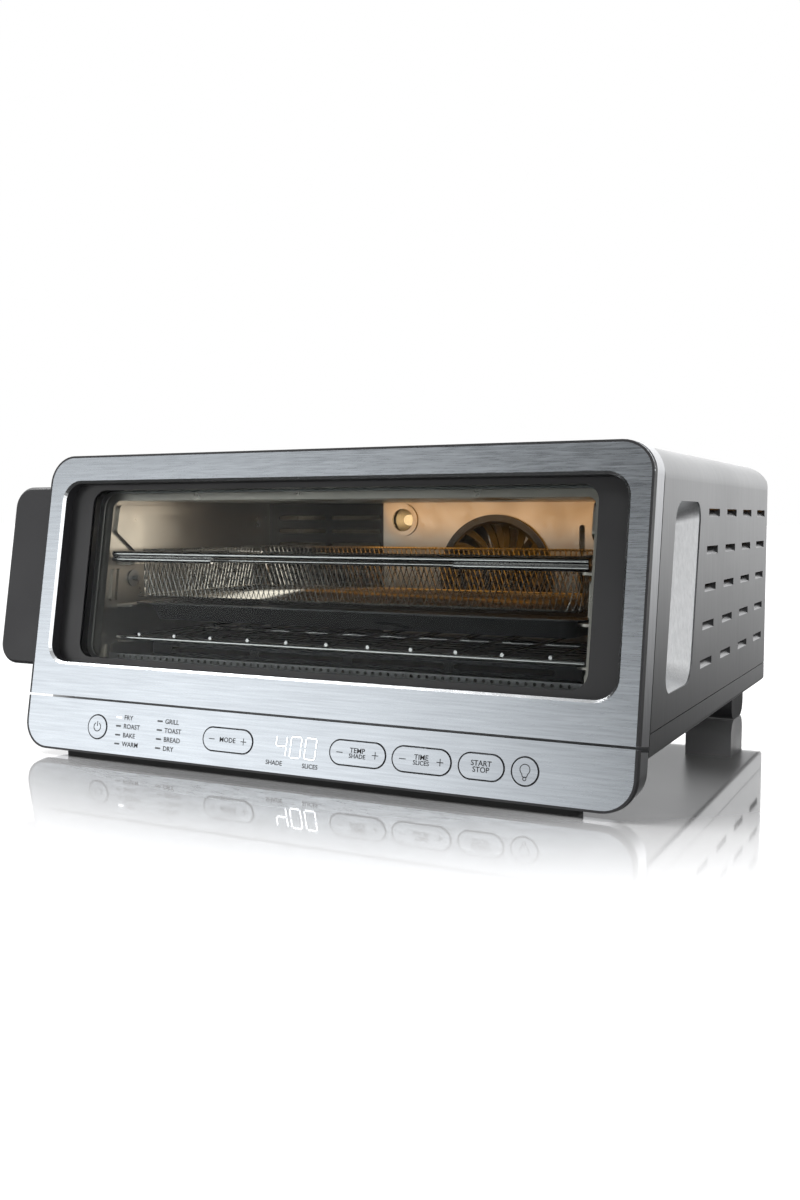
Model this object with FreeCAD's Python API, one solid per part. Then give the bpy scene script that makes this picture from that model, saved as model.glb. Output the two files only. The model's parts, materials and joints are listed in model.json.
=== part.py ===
import FreeCAD, Part
import math
import os

# Countertop toaster oven with a leaning front, a bottom-hinged glass door and a control strip below it.
# Working axes, in millimetres: X to the right seen from the front, Y to the rear from the bottom edge
# of the front face, Z up from the counter. Every solid is moved at export so that the origin lies on
# the counter at the middle of the front foot.

V = FreeCAD.Vector

# ---- overall size ----
WIDTH = 500.0
DEPTH = 460.0
FACE_BOTTOM = 5.0
FACE_TOP = 238.0
BODY_BOTTOM = 34.0
BODY_TOP = 236.0
LEAN = 9.75
CORNER_R = 22.0
REAR_TOP_R = 28.0
REAR_BOTTOM_R = 17.5
REAR_SIDE_R = 9.0
FOOT_MIDDLE = 14.0
HALF = WIDTH / 2

# ---- layers of the front, as depths behind the face ----
FACE_SHEET = 2.0
DARK_LAYER = 7.0
GLASS_FRONT = 10.0
GLASS_BACK = 14.0
INNER_GLASS = 20.2
PANEL_FRONT = 23.5
DOOR_BACK = 25.0
BODY_GAP = 26.6

# ---- heights up the leaning face ----
STRIP_TOP = 41.2
TROUGH_TOP = 39.3
DOOR_FOOT = 42.9
FACE_LENGTH = 262.0
WINDOW_HALF = 233.8
WINDOW_LOW = 69.7
WINDOW_HIGH = 214.2
WINDOW_R = 15.0
VIEW_HALF = 212.0
VIEW_LOW = 75.0
VIEW_HIGH = 210.0
VIEW_R = 12.0

# ---- door hinge and handle ----
HINGE_DEPTH = 6.0
HINGE_UP = 48.5
HINGE_X = 218.0
PIN_R = 2.5
PIN_PLAY = 0.05
EYE_R = 3.7
HANDLE_OUT = 41.0
HANDLE_LOW = 65.7
HANDLE_HIGH = 212.4

# ---- cavity ----
SHEET = 1.2
LINER = 1.0
CAVITY_HALF = 205.0
CAVITY_FLOOR = 71.0
CAVITY_CEILING = 202.0
BAFFLE_Y = 280.0
CAVITY_REAR = 345.0
DUCT_EDGE = -70.0
DUCT_Y = 292.0
FRAME_BACK = 28.2
SEAM_Z = 50.5
SEAM_GAP = 0.6

# ---- racks ----
BASKET_LEDGE = 151.5
PAN_LEDGE = 116.7
RACK_LEDGE = 87.5
LEDGE_REACH = 15.0
LEDGE_FRONT = 62.0
LEDGE_REAR = 272.0
RACK_GAP = 0.4

# ---- fan ----
FAN_X = 44.0
FAN_Z = 137.0
SHAFT_R = 3.0
SHAFT_PLAY = 0.05

# ---- controls, as places along the strip ----
BUTTON_UP = 21.0
BUTTON_R = 8.7
PILL_HALF_HEIGHT = 8.1
BUTTON_CLEAR = 0.55
PILL_PLACES = {"mode": (-53.6, 21.4), "temp": (54.7, 21.4), "time": (103.6, 21.4)}
START_PLACE = (147.0, 15.6)
POWER_X = -176.5
LIGHT_X = 177.5
LIGHT_COLUMNS = (-156.0, -116.6)
LIGHT_ROWS = (30.0, 23.3, 16.5, 9.7)
BOARD_FRONT = 13.0
STEM_END = 9.6

# ---- handle screws ----
HANDLE_SCREWS_UP = (100.0, 178.0)

# ---- rocker switches ----
ROCKER_PRESS = 14.0
PIVOT_DEPTH = 5.3
PIVOT_R = 1.0
PIVOT_PLAY = 0.05

# ---- pressed louvres ----
VENT_ROWS = 5
VENT_COLUMNS = 4
VENT_LENGTH = 41.0
VENT_HEIGHT = 7.0
VENT_DEPTH = 7.0
VENT_TOP_Z = 194.0
VENT_PITCH_Z = 28.2

# ---- grip pockets ----
POCKET_LOW = 70.0
POCKET_HIGH = 199.5
POCKET_FRONT = 70.0
POCKET_REAR = 146.0
POCKET_SLOPE = 0.2
POCKET_R = 15.0
POCKET_DEPTH = 24.0
POCKET_DRAFT = 9.0

# ---- rear panel ----
GLAND_X = 150.0
GLAND_Z = 78.0
BACK_SCREWS = [(x, z) for x in (-231.5, 231.5) for z in (76.0, 131.0, 186.0)]
CORD_R = 3.9

# ---- rear bumpers ----
BUMPER_OUT = 6.0

# ---- fan guard ----
GUARD_R = 54.0

# ---- heating elements ----
HEATER_R = 3.2
UPPER_HEATERS = [(105.5, 210.5), (211.5, 210.5)]
LOWER_HEATERS = [(132.0, 78.5), (212.0, 78.5)]

# ---- cover over the lower elements ----
GUARD_FRONT = 86.0
GUARD_REAR = 250.0
GUARD_LOW = 74.0
GUARD_TOP = 84.0

# ---- temperature probe ----
PROBE_Y = 82.0
PROBE_Z = 137.5

# ---- cavity lamp ----
LAMP_X = -49.0
LAMP_Z = 186.0
LAMP_R = 12.0

# ---- basket ----
ROD_R = 2.4
SIDE_ROD_R = 2.1
BASKET_HALF = 190.0
BASKET_FRONT = 70.0
BASKET_REAR = 250.0
BASKET_LOW = 123.0
BASKET_HIGH = 162.0
HOOP_Y = 55.8

# ---- sheet pan ----
PAN_HALF = 187.0
PAN_FRONT = 75.0
PAN_REAR = 250.0
PAN_LOW = 104.0

# ---- wire rack ----
RACK_HALF = 200.0
RACK_FRONT = 53.0
RACK_REAR = 262.0
RACK_WIRES = 11
RACK_PITCH = 35.2

# ---- crumb tray ----
TRAY_LOW = CAVITY_FLOOR + 0.5


# ---------------- general helpers ----------------

def block(x0, x1, y0, y1, z0, z1):
    """Rectangular block between two corners."""
    return Part.makeBox(x1 - x0, y1 - y0, z1 - z0, V(x0, y0, z0))


def mirrored(shape):
    """Copy on the other side of the middle plane."""
    return shape.mirror(V(0, 0, 0), V(1, 0, 0))


def both_sides(shape):
    """The piece and its mirror image, as separate solids."""
    return Part.makeCompound([shape, mirrored(shape)])


def fused(shapes):
    """One solid out of touching shapes."""
    first, rest = shapes[0], shapes[1:]
    joined = first.multiFuse(rest) if rest else first
    return joined.removeSplitter()


def cylinder(r, start, end):
    """Solid rod between two points."""
    a, b = V(*start), V(*end)
    return Part.makeCylinder(r, a.distanceToPoint(b), a, b - a)


def ring(outer, inner, start, end):
    """Tube between two points."""
    return cylinder(outer, start, end).cut(cylinder(inner, start, end))


def corner_points(u0, u1, v0, v1, radii):
    """Edges of a rectangle with its own radius at each corner, as lines and arcs in the (u, v) plane.
    radii run from the low-u low-v corner anticlockwise."""
    corners = [(u0, v0, 1, 1), (u1, v0, -1, 1), (u1, v1, -1, -1), (u0, v1, 1, -1)]
    legs = []
    for index, (u, v, inward_u, inward_v) in enumerate(corners):
        r = radii[index]
        along_u, along_v = (u + inward_u * r, v), (u, v + inward_v * r)
        centre = (u + inward_u * r, v + inward_v * r)
        half = r * math.sqrt(0.5)
        middle = (centre[0] - inward_u * half, centre[1] - inward_v * half)
        pair = (along_v, along_u) if index % 2 == 0 else (along_u, along_v)
        legs.append((r, pair[0], middle, pair[1]))
    return legs


def rounded_wire(u0, u1, v0, v1, radii, point):
    """Closed wire of a rounded rectangle. point turns a (u, v) pair into a vector."""
    legs = corner_points(u0, u1, v0, v1, radii)
    edges = []
    for index, (r, start, middle, end) in enumerate(legs):
        if r > 0:
            edges.append(Part.Arc(point(*start), point(*middle), point(*end)).toShape())
        following = legs[(index + 1) % 4][1]
        if math.dist(end, following) > 1e-6:
            edges.append(Part.LineSegment(point(*end), point(*following)).toShape())
    return Part.Wire(edges)


def prism_y(u0, u1, v0, v1, radii, y0, y1):
    """Rounded rectangle in X and Z, drawn out along Y."""
    wire = rounded_wire(u0, u1, v0, v1, radii, lambda u, v: V(u, y0, v))
    return Part.Face(wire).extrude(V(0, y1 - y0, 0))


def prism_x(u0, u1, v0, v1, radii, x0, x1):
    """Rounded rectangle in Y and Z, drawn out along X."""
    wire = rounded_wire(u0, u1, v0, v1, radii, lambda u, v: V(x0, u, v))
    return Part.Face(wire).extrude(V(x1 - x0, 0, 0))


def prism_z(u0, u1, v0, v1, radii, z0, z1):
    """Rounded rectangle in X and Y, drawn out along Z."""
    wire = rounded_wire(u0, u1, v0, v1, radii, lambda u, v: V(u, v, z0))
    return Part.Face(wire).extrude(V(0, 0, z1 - z0))


def lean(shape):
    """Turns a piece drawn upright into the leaning front: Y is depth behind the face, Z is height up it."""
    turned = shape.copy()
    turned.rotate(V(0, 0, FACE_BOTTOM), V(1, 0, 0), -LEAN)
    return turned


def face_block(x0, x1, depth0, depth1, up0, up1):
    """Block in the leaning front's own axes."""
    return lean(block(x0, x1, depth0, depth1, FACE_BOTTOM + up0, FACE_BOTTOM + up1))


def face_prism(x0, x1, up0, up1, radii, depth0, depth1):
    """Rounded plate in the leaning front's own axes."""
    return lean(prism_y(x0, x1, FACE_BOTTOM + up0, FACE_BOTTOM + up1, radii, depth0, depth1))


def face_rod(r, x, up, depth0, depth1):
    """Round pin square to the leaning face."""
    return lean(cylinder(r, (x, depth0, FACE_BOTTOM + up), (x, depth1, FACE_BOTTOM + up)))


def pill_prism(x, half_width, half_height, depth0, depth1):
    """Plate with round ends, square to the leaning face, at the height of the buttons."""
    r = half_height - 0.01
    up0, up1 = BUTTON_UP - half_height, BUTTON_UP + half_height
    return face_prism(x - half_width, x + half_width, up0, up1, (r, r, r, r), depth0, depth1)


# ---------------- envelopes ----------------

def front_envelope(inset):
    """Outside of the front module: a rounded rectangle seen from the front."""
    r = CORNER_R - inset
    low, high = FACE_BOTTOM + inset, FACE_TOP - inset
    return prism_y(-HALF + inset, HALF - inset, low, high, (r, r, r, r), -60, 140)


def front_slice(inset, depth0, depth1, up0, up1):
    """Layer of the front module between two depths and two heights."""
    return front_envelope(inset).common(face_block(-HALF - 5, HALF + 5, depth0, depth1, up0, up1))


def body_solid(inset, front_depth):
    """Outside of the body behind the front module, moved inwards by inset."""
    low, high, rear = BODY_BOTTOM + inset, BODY_TOP - inset, DEPTH - inset
    top_r, rear_r = CORNER_R - inset, REAR_SIDE_R - inset
    seen_from_front = prism_y(-HALF + inset, HALF - inset, low, high, (3, 3, top_r, top_r), 0, DEPTH + 5)
    side_radii = (0, REAR_BOTTOM_R - inset, REAR_TOP_R - inset, 0)
    seen_from_side = prism_x(10, rear, low, high, side_radii, -HALF, HALF)
    seen_from_top = prism_z(-HALF + inset, HALF - inset, 10, rear, (0, 0, rear_r, rear_r), 0, FACE_TOP + 5)
    ahead = face_block(-HALF - 5, HALF + 5, -120, front_depth, -60, 300)
    return seen_from_front.common(seen_from_side).common(seen_from_top).cut(ahead)


# ---------------- door ----------------

def hinge_slots(depth0, depth1):
    """Room around the two hinge arms."""
    slot = face_block(HINGE_X - 3.6, HINGE_X + 3.6, depth0, depth1, DOOR_FOOT - 2, HINGE_UP + 14)
    return [slot, mirrored(slot)]


def door_face():
    """Brushed steel sheet around the window, with a bevelled window edge."""
    plate = front_slice(0, 0, FACE_SHEET, DOOR_FOOT, FACE_LENGTH)
    radii = (WINDOW_R,) * 4
    opening = face_prism(-WINDOW_HALF, WINDOW_HALF, WINDOW_LOW, WINDOW_HIGH, radii, -1, FACE_SHEET + 1)
    bevel = 1.9
    wide = tuple(r + bevel for r in radii)
    outer = rounded_wire(
        -WINDOW_HALF - bevel, WINDOW_HALF + bevel,
        FACE_BOTTOM + WINDOW_LOW - bevel, FACE_BOTTOM + WINDOW_HIGH + bevel,
        wide, lambda u, v: V(u, 0, v))
    inner = rounded_wire(
        -WINDOW_HALF, WINDOW_HALF, FACE_BOTTOM + WINDOW_LOW, FACE_BOTTOM + WINDOW_HIGH,
        radii, lambda u, v: V(u, bevel, v))
    slope = lean(Part.makeLoft([outer, inner], True, True))
    return plate.cut(opening).cut(slope)


def door_backing():
    """Black moulded frame behind the steel sheet. It holds the outer glass and the hinge pins."""
    flange = front_slice(1.0, FACE_SHEET, DARK_LAYER, DOOR_FOOT + 0.5, FACE_LENGTH)
    step = front_slice(1.6, DARK_LAYER - 0.5, GLASS_FRONT, DOOR_FOOT + 1.6, FACE_LENGTH)
    opening = face_prism(
        -WINDOW_HALF, WINDOW_HALF, WINDOW_LOW, WINDOW_HIGH, (WINDOW_R,) * 4, 0, GLASS_FRONT + 1)
    pins = [hinge_pin(-1), hinge_pin(1)]
    slots = hinge_slots(FACE_SHEET - 0.2, GLASS_FRONT + 1)
    return cut_all(fused([flange, step]), [opening] + slots + pins)


def door_frame():
    """Light metal band around the edge of the door."""
    outside = front_slice(0, DARK_LAYER, DOOR_BACK, DOOR_FOOT, FACE_LENGTH)
    inside = front_slice(1.5, DARK_LAYER - 1, DOOR_BACK + 1, DOOR_FOOT + 1.5, FACE_LENGTH)
    band = outside.cut(inside)
    for slot in hinge_slots(DARK_LAYER - 1, DOOR_BACK + 1):
        band = band.cut(slot)
    for up in HANDLE_SCREWS_UP:
        band = band.cut(handle_screw_rod(up, 2.0, -HALF - 5, -HALF + 5))
    return band


def glass_pane(half, low, high, depth0, depth1):
    """Flat pane with rounded corners."""
    return face_prism(-half, half, low, high, (10,) * 4, depth0, depth1)


def door_glass_outer():
    """Outer pane, against the back of the moulded frame."""
    return glass_pane(241, 61, 223, GLASS_FRONT, GLASS_BACK)


def door_glass_spacer():
    """Black spacer that keeps the two panes apart around the view."""
    outside = face_prism(-221, 221, 66, 219, (16,) * 4, GLASS_BACK, INNER_GLASS)
    half, low, high = VIEW_HALF + 1, VIEW_LOW - 1, VIEW_HIGH + 1
    inside = face_prism(-half, half, low, high, (VIEW_R,) * 4, GLASS_BACK - 1, INNER_GLASS + 1)
    return outside.cut(inside)


def door_glass_inner():
    """Inner pane, held between the spacer and the inner panel."""
    return glass_pane(221, 66, 219, INNER_GLASS, PANEL_FRONT)


def door_inner_panel():
    """Steel panel that closes the back of the door around the view."""
    plate = front_slice(1.6, PANEL_FRONT, DOOR_BACK, DOOR_FOOT + 1.6, FACE_LENGTH)
    view = face_prism(
        -VIEW_HALF, VIEW_HALF, VIEW_LOW, VIEW_HIGH, (VIEW_R,) * 4, PANEL_FRONT - 1, DOOR_BACK + 1)
    plate = plate.cut(view)
    for slot in hinge_slots(PANEL_FRONT - 1, DOOR_BACK + 1):
        plate = plate.cut(slot)
    return plate


def hinge_pin(side):
    """Pin that the door turns on, square to the side."""
    x0, x1 = side * (HINGE_X - 11), side * (HINGE_X + 11)
    z = FACE_BOTTOM + HINGE_UP
    return lean(cylinder(PIN_R, (x0, HINGE_DEPTH, z), (x1, HINGE_DEPTH, z)))


def hinge_pins():
    """The two hinge pins."""
    return Part.makeCompound([hinge_pin(-1), hinge_pin(1)])


def handle_screw_rod(up, r, x0, x1):
    """Round bar across the door's left edge, at the height of a handle screw."""
    middle = (DARK_LAYER + DOOR_BACK) / 2
    return lean(cylinder(r, (x0, middle, FACE_BOTTOM + up), (x1, middle, FACE_BOTTOM + up)))


def door_handle():
    """Black wing handle on the left edge: a crowned pad with a scooped back for the fingers."""
    left, right = -HALF - HANDLE_OUT, -HALF
    radii = (17, 0, 0, 17)
    pad = face_prism(left, right, HANDLE_LOW, HANDLE_HIGH, radii, 3.5, 20.0)
    rounded = [e for e in pad.Edges if handle_edge(e, left)]
    pad = pad.makeFillet(3.0, rounded)
    scoop = face_prism(left + 9, right - 6, HANDLE_LOW + 12, HANDLE_HIGH - 12, (10, 5, 5, 10), 12.0, 22.0)
    pad = pad.cut(scoop)
    for up in HANDLE_SCREWS_UP:
        pad = pad.cut(handle_screw_rod(up, 2.0, -HALF - 5, -HALF + 5))
    return pad


def handle_edge(edge, left):
    """Is this one of the handle's front edges, away from the door?"""
    front = [abs(depth_of(vertex.Point) - 3.5) < 1e-3 for vertex in edge.Vertexes]
    middle = edge.valueAt((edge.FirstParameter + edge.LastParameter) / 2)
    return all(front) and middle.x < -HALF - 0.5


def depth_of(point):
    """Depth of a point behind the leaning face."""
    angle = math.radians(LEAN)
    return point.y * math.cos(angle) - (point.z - FACE_BOTTOM) * math.sin(angle)


def handle_screws():
    """Two pan-head screws that hold the handle from inside the door."""
    screws = []
    for up in HANDLE_SCREWS_UP:
        shank = handle_screw_rod(up, 2.0, -HALF - 5, -HALF + 1.5)
        head = handle_screw_rod(up, 3.6, -HALF + 1.5, -HALF + 3.9)
        screws.append(shank.fuse(head).removeSplitter())
    return Part.makeCompound(screws)


# ---------------- control strip ----------------

def button_openings(extra, depth0, depth1):
    """Openings for the six buttons, larger than the button caps by extra."""
    cuts = []
    for x in (POWER_X, LIGHT_X):
        cuts.append(face_rod(BUTTON_R + extra, x, BUTTON_UP, depth0, depth1))
    for x, half_width in list(PILL_PLACES.values()) + [START_PLACE]:
        cuts.append(pill_prism(x, half_width + extra, PILL_HALF_HEIGHT + extra, depth0, depth1))
    return cuts


def indicator_bars(depth0, depth1):
    """Eight small bars of light beside the programme names."""
    bars = []
    for x in LIGHT_COLUMNS:
        for up in LIGHT_ROWS:
            bars.append(face_prism(x - 2.6, x + 2.6, up - 0.65, up + 0.65, (0.6,) * 4, depth0, depth1))
    return bars


def cut_all(shape, tools):
    """Shape without any of the tools."""
    return shape.cut(Part.makeCompound(tools))


def control_fascia():
    """Brushed steel sheet of the control strip."""
    plate = front_slice(0, 0, 1.5, -20, STRIP_TOP)
    plate = cut_all(plate, button_openings(BUTTON_CLEAR, -1, 3))
    return cut_all(plate, indicator_bars(-1, 3))


def control_backing():
    """Black moulded plate behind the steel sheet, with a well for each button."""
    plate = front_slice(1.0, 1.5, DARK_LAYER, -20, TROUGH_TOP)
    plate = cut_all(plate, button_openings(BUTTON_CLEAR, 0, 9))
    plate = cut_all(plate, indicator_bars(0, 9))
    for x, _ in PILL_PLACES.values():
        plate = plate.cut(rocker_pivot(x, PIVOT_R + PIVOT_PLAY, PILL_HALF_HEIGHT + 2.2))
    return plate.cut(face_block(-16, 27, 1.4, 9, 9, 31))


def control_housing():
    """Light metal trough that closes the bottom and sides of the control strip."""
    outside = front_slice(0, DARK_LAYER, DOOR_BACK, -20, TROUGH_TOP)
    inside = front_slice(1.5, DARK_LAYER - 1, DOOR_BACK - 1.5, -20, TROUGH_TOP - 1.5)
    return outside.cut(inside)


def display_module():
    """Numeric display behind the steel strip."""
    return face_block(-15.6, 26.6, 1.5, DARK_LAYER + 1, 9.4, 30.6)


def indicator_lights():
    """Eight light pipes, flush with the steel."""
    return Part.makeCompound(indicator_bars(0, DARK_LAYER))


def tact_switch(x):
    """Small switch on the control board."""
    return face_block(x - 3, x + 3, STEM_END + 1.2, BOARD_FRONT, BUTTON_UP - 3, BUTTON_UP + 3)


def control_board():
    """Circuit board in the strip, with a switch behind each button and behind each end of a rocker."""
    board = face_block(-215, 215, BOARD_FRONT, BOARD_FRONT + 1.6, 8, 35)
    places = [POWER_X, LIGHT_X, START_PLACE[0]]
    for x, half_width in PILL_PLACES.values():
        places += [x - ROCKER_PRESS, x + ROCKER_PRESS]
    chip = face_block(-8, 14, BOARD_FRONT + 1.6, BOARD_FRONT + 4, 14, 28)
    return fused([board, chip] + [tact_switch(x) for x in places])


def round_button(x):
    """Round push button: cap, retaining rim and stem."""
    cap = face_rod(BUTTON_R, x, BUTTON_UP, -0.4, DARK_LAYER + 0.3)
    rim = face_rod(BUTTON_R + 2.2, x, BUTTON_UP, DARK_LAYER + 0.3, DARK_LAYER + 1.5)
    stem = face_rod(2.5, x, BUTTON_UP, DARK_LAYER + 1.5, STEM_END)
    return fused([cap, rim, stem])


def rocker_pivot(x, r, half_length):
    """Round bar that a rocker tilts on, up and down the face through its middle."""
    low = (x, PIVOT_DEPTH, FACE_BOTTOM + BUTTON_UP - half_length)
    high = (x, PIVOT_DEPTH, FACE_BOTTOM + BUTTON_UP + half_length)
    return lean(cylinder(r, low, high))


def rocker(x, half_width):
    """Two-way rocker on its pivot."""
    button = pill_button(x, half_width, (-ROCKER_PRESS, ROCKER_PRESS), 1.2)
    return fused([button, rocker_pivot(x, PIVOT_R, PILL_HALF_HEIGHT + 1.8)])


def pill_button(x, half_width, presses, rim):
    """Button cap with round ends and a retaining rim, with a stem over each switch."""
    cap = pill_prism(x, half_width, PILL_HALF_HEIGHT, -0.4, DARK_LAYER + rim)
    rim_front, rim_back = DARK_LAYER + rim, DARK_LAYER + rim + 1.0
    edge = pill_prism(x, half_width + 1.8, PILL_HALF_HEIGHT + 1.8, rim_front, rim_back)
    stems = [face_rod(2.0, x + press, BUTTON_UP, rim_back, STEM_END) for press in presses]
    return fused([cap, edge] + stems)


def front_foot():
    """Long rubber foot under the control strip."""
    return prism_z(-212, 212, FOOT_MIDDLE - 9, FOOT_MIDDLE + 9, (6,) * 4, 0, FACE_BOTTOM)


# ---------------- hinge arms ----------------

def hinge_arm():
    """Arm from the front frame to the eye that the hinge pin turns in."""
    eye = lean(cylinder(
        EYE_R,
        (HINGE_X - 3, HINGE_DEPTH, FACE_BOTTOM + HINGE_UP),
        (HINGE_X + 3, HINGE_DEPTH, FACE_BOTTOM + HINGE_UP)))
    arm = face_block(HINGE_X - 3, HINGE_X + 3, HINGE_DEPTH, BODY_GAP, HINGE_UP - 2.2, HINGE_UP + 3.6)
    hole = lean(cylinder(
        PIN_R + PIN_PLAY,
        (HINGE_X - 5, HINGE_DEPTH, FACE_BOTTOM + HINGE_UP),
        (HINGE_X + 5, HINGE_DEPTH, FACE_BOTTOM + HINGE_UP)))
    return fused([eye, arm]).cut(hole)


def hinge_brackets():
    """Left and right hinge arms."""
    return both_sides(hinge_arm())


# ---------------- body shell ----------------


def vent_places():
    """Low front corner of each louvre. The columns follow the leaning front and the upright rear."""
    places = []
    for row in range(VENT_ROWS):
        top = VENT_TOP_Z - row * VENT_PITCH_Z
        first = 196.0 - 0.19 * (VENT_TOP_Z - top)
        last = 398.0 - 0.06 * (VENT_TOP_Z - top)
        for column in range(VENT_COLUMNS):
            y = first + (last - first) * column / (VENT_COLUMNS - 1)
            places.append((y, top - VENT_HEIGHT))
    return places


def vent_wedge(y, z, wall):
    """Wedge pushed into the side panel: deepest at its top, where the slot is."""
    low, high = z + wall, z + VENT_HEIGHT + wall
    front, deep = y + wall, HALF - VENT_DEPTH + wall
    triangle = Part.makePolygon([
        V(HALF + 1, front, low), V(deep, front, high), V(HALF + 1, front, high), V(HALF + 1, front, low)])
    return Part.Face(triangle).extrude(V(0, VENT_LENGTH - 2 * wall, 0))


def pocket_wire(x, inset):
    """Outline of the grip pocket: a slot that leans with the front, with round corners."""
    low, high = POCKET_LOW + inset, POCKET_HIGH - inset
    r = POCKET_R - inset * 0.5
    slope = POCKET_SLOPE

    def at(y, z):
        return V(x, y + slope * (z - POCKET_LOW), z)

    return rounded_wire(POCKET_FRONT + inset, POCKET_REAR - inset, low, high, (r,) * 4, at)


def pocket_opening(x0, x1):
    """Straight cut for the pocket through the side panel."""
    return Part.Face(pocket_wire(x0, 0)).extrude(V(x1 - x0, 0, 0))


def grip_pocket():
    """Pressed steel pocket behind the right side panel, with sloping walls."""
    wall_x = HALF - SHEET
    floor_x = HALF - POCKET_DEPTH
    hollow = Part.makeLoft([pocket_wire(wall_x, 0), pocket_wire(floor_x, POCKET_DRAFT)], True, True)
    outside = Part.makeLoft(
        [pocket_wire(wall_x, -1.2), pocket_wire(floor_x - 1.0, POCKET_DRAFT - 1.2)], True, True)
    flange = Part.Face(pocket_wire(wall_x - 1.0, -7)).extrude(V(1.0, 0, 0))
    return fused([outside, flange]).cut(hollow)


def outer_shell():
    """Steel wrapper over the top and both sides, with pressed louvres and the two pocket openings."""
    outside = body_solid(0, BODY_GAP)
    inside = body_solid(SHEET, BODY_GAP - 5)
    shell = outside.cut(inside)
    shell = shell.cut(block(-HALF - 1, HALF + 1, 0, DEPTH + 1, 0, SEAM_Z + SEAM_GAP))
    shell = shell.cut(prism_y(-226, 226, 20, 194, (10,) * 4, DEPTH - 8, DEPTH + 1))
    shell = cut_all(shell, [screw_rod(x, z, 1.6) for x, z in BACK_SCREWS])
    outers, inners = [], []
    for y, z in vent_places():
        outer, inner = vent_wedge(y, z, 0), vent_wedge(y, z, 1.0)
        outer = outer.common(block(0, HALF, 0, DEPTH, 0, FACE_TOP))
        outers += [outer, mirrored(outer)]
        inners += [inner, mirrored(inner)]
    shell = shell.multiFuse(outers)
    shell = cut_all(shell, inners)
    opening = pocket_opening(HALF - 3, HALF + 1)
    return cut_all(shell, [opening, mirrored(opening)])


def base_pan():
    """Bottom tray of the body, below the seam line."""
    outside = body_solid(0, BODY_GAP)
    inside = body_solid(SHEET, BODY_GAP + SHEET)
    inside = inside.cut(block(-HALF, HALF, 0, 500, SEAM_Z, FACE_TOP))
    pan = outside.cut(block(-HALF - 1, HALF + 1, 0, DEPTH + 1, SEAM_Z, FACE_TOP))
    pan = pan.cut(inside)
    slots = []
    for row in range(6):
        y = 150 + 22 * row
        slots.append(prism_z(-60, 60, y, y + 5, (2.4,) * 4, BODY_BOTTOM - 1, BODY_BOTTOM + 3))
    lug = face_block(-200, 200, DOOR_BACK, BODY_GAP + 0.6, 35, 38.5)
    return fused([cut_all(pan, slots), lug])


def back_panel():
    """Flat rear panel inside the wrapper's rear rim, with two fields of cooling slots."""
    y1 = DEPTH - SHEET
    panel = prism_y(-238, 238, SEAM_Z + 1, 206, (4, 4, 8, 8), y1 - SHEET, y1)
    slots = []
    for column in range(18):
        x = -170 + 20 * column
        slots.append(prism_y(x - 3, x + 3, 130, 180, (2.9,) * 4, y1 - 5, y1 + 5))
    slots.append(cylinder(9.1, (GLAND_X, y1 - 5, GLAND_Z), (GLAND_X, y1 + 5, GLAND_Z)))
    slots += [screw_rod(x, z, 1.6) for x, z in BACK_SCREWS]
    return cut_all(panel, slots)


def screw_rod(x, z, r):
    """Round bar along Y through the rear rim and the rear panel."""
    return cylinder(r, (x, DEPTH - 6, z), (x, DEPTH, z))


def back_screws():
    """Six screws that hold the rear panel to the rim."""
    screws = []
    for x, z in BACK_SCREWS:
        head = cylinder(3.2, (x, DEPTH, z), (x, DEPTH + 1.8, z))
        screws.append(fused([screw_rod(x, z, 1.6), head]))
    return Part.makeCompound(screws)


def cord_gland():
    """Moulded gland in the rear panel for the mains cord, with its bore open."""
    y = DEPTH - SHEET
    body = cylinder(9.0, (GLAND_X, y - 8, GLAND_Z), (GLAND_X, y + 1, GLAND_Z))
    lip = cylinder(12.0, (GLAND_X, y, GLAND_Z), (GLAND_X, y + 4, GLAND_Z))
    collar = cylinder(11.0, (GLAND_X, y - 8, GLAND_Z), (GLAND_X, y - 3, GLAND_Z))
    bore = cylinder(CORD_R, (GLAND_X, y - 10, GLAND_Z), (GLAND_X, y + 6, GLAND_Z))
    return fused([body, lip, collar]).cut(bore)


def rear_bumpers():
    """Four rubber bumpers on the rear rim that the oven stands on when it is tipped back."""
    places = ((-233.5, 61), (233.5, 61), (-205, 201), (205, 201))
    return Part.makeCompound([bumper(x, z) for x, z in places])


def bumper(x, z):
    """One round bumper with a chamfered end."""
    disc = Part.makeCylinder(6.0, BUMPER_OUT, V(x, DEPTH, z), V(0, 1, 0))
    rim = [e for e in disc.Edges if abs(e.BoundBox.YMin - DEPTH - BUMPER_OUT) < 1e-6]
    return disc.makeChamfer(1.0, rim)


def rear_foot():
    """Black rocker foot under a rear corner, rounded behind so that the oven can be tipped back."""
    foot = prism_x(398, 452, 0, 45, (14, 14, 0, 0), 189, 231)
    return foot.cut(body_solid(0, BODY_GAP))


def rear_feet():
    """Both rear feet."""
    return both_sides(rear_foot())


# ---------------- front frame and cavity ----------------

def front_frame():
    """Sheet behind the door that carries the cavity, the hinge arms and the door seal."""
    plate = body_solid(SHEET + 0.1, BODY_GAP).common(
        face_block(-HALF, HALF, BODY_GAP, FRAME_BACK, STRIP_TOP, FACE_LENGTH))
    plate = plate.cut(block(-HALF, HALF, 0, 100, 0, SEAM_Z + 0.2))
    mouth = prism_y(-CAVITY_HALF, CAVITY_HALF, CAVITY_FLOOR, CAVITY_CEILING, (0, 0, 6, 6), 0, 120)
    return plate.cut(mouth)


def door_seal():
    """Thin silicone seal around the cavity mouth."""
    outside = face_prism(-225, 225, 65.5, 216, (14,) * 4, DOOR_BACK + 0.4, BODY_GAP)
    inside = face_prism(-217, 217, 70.5, 210.5, (8,) * 4, DOOR_BACK, BODY_GAP + 1)
    return outside.cut(inside)


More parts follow.
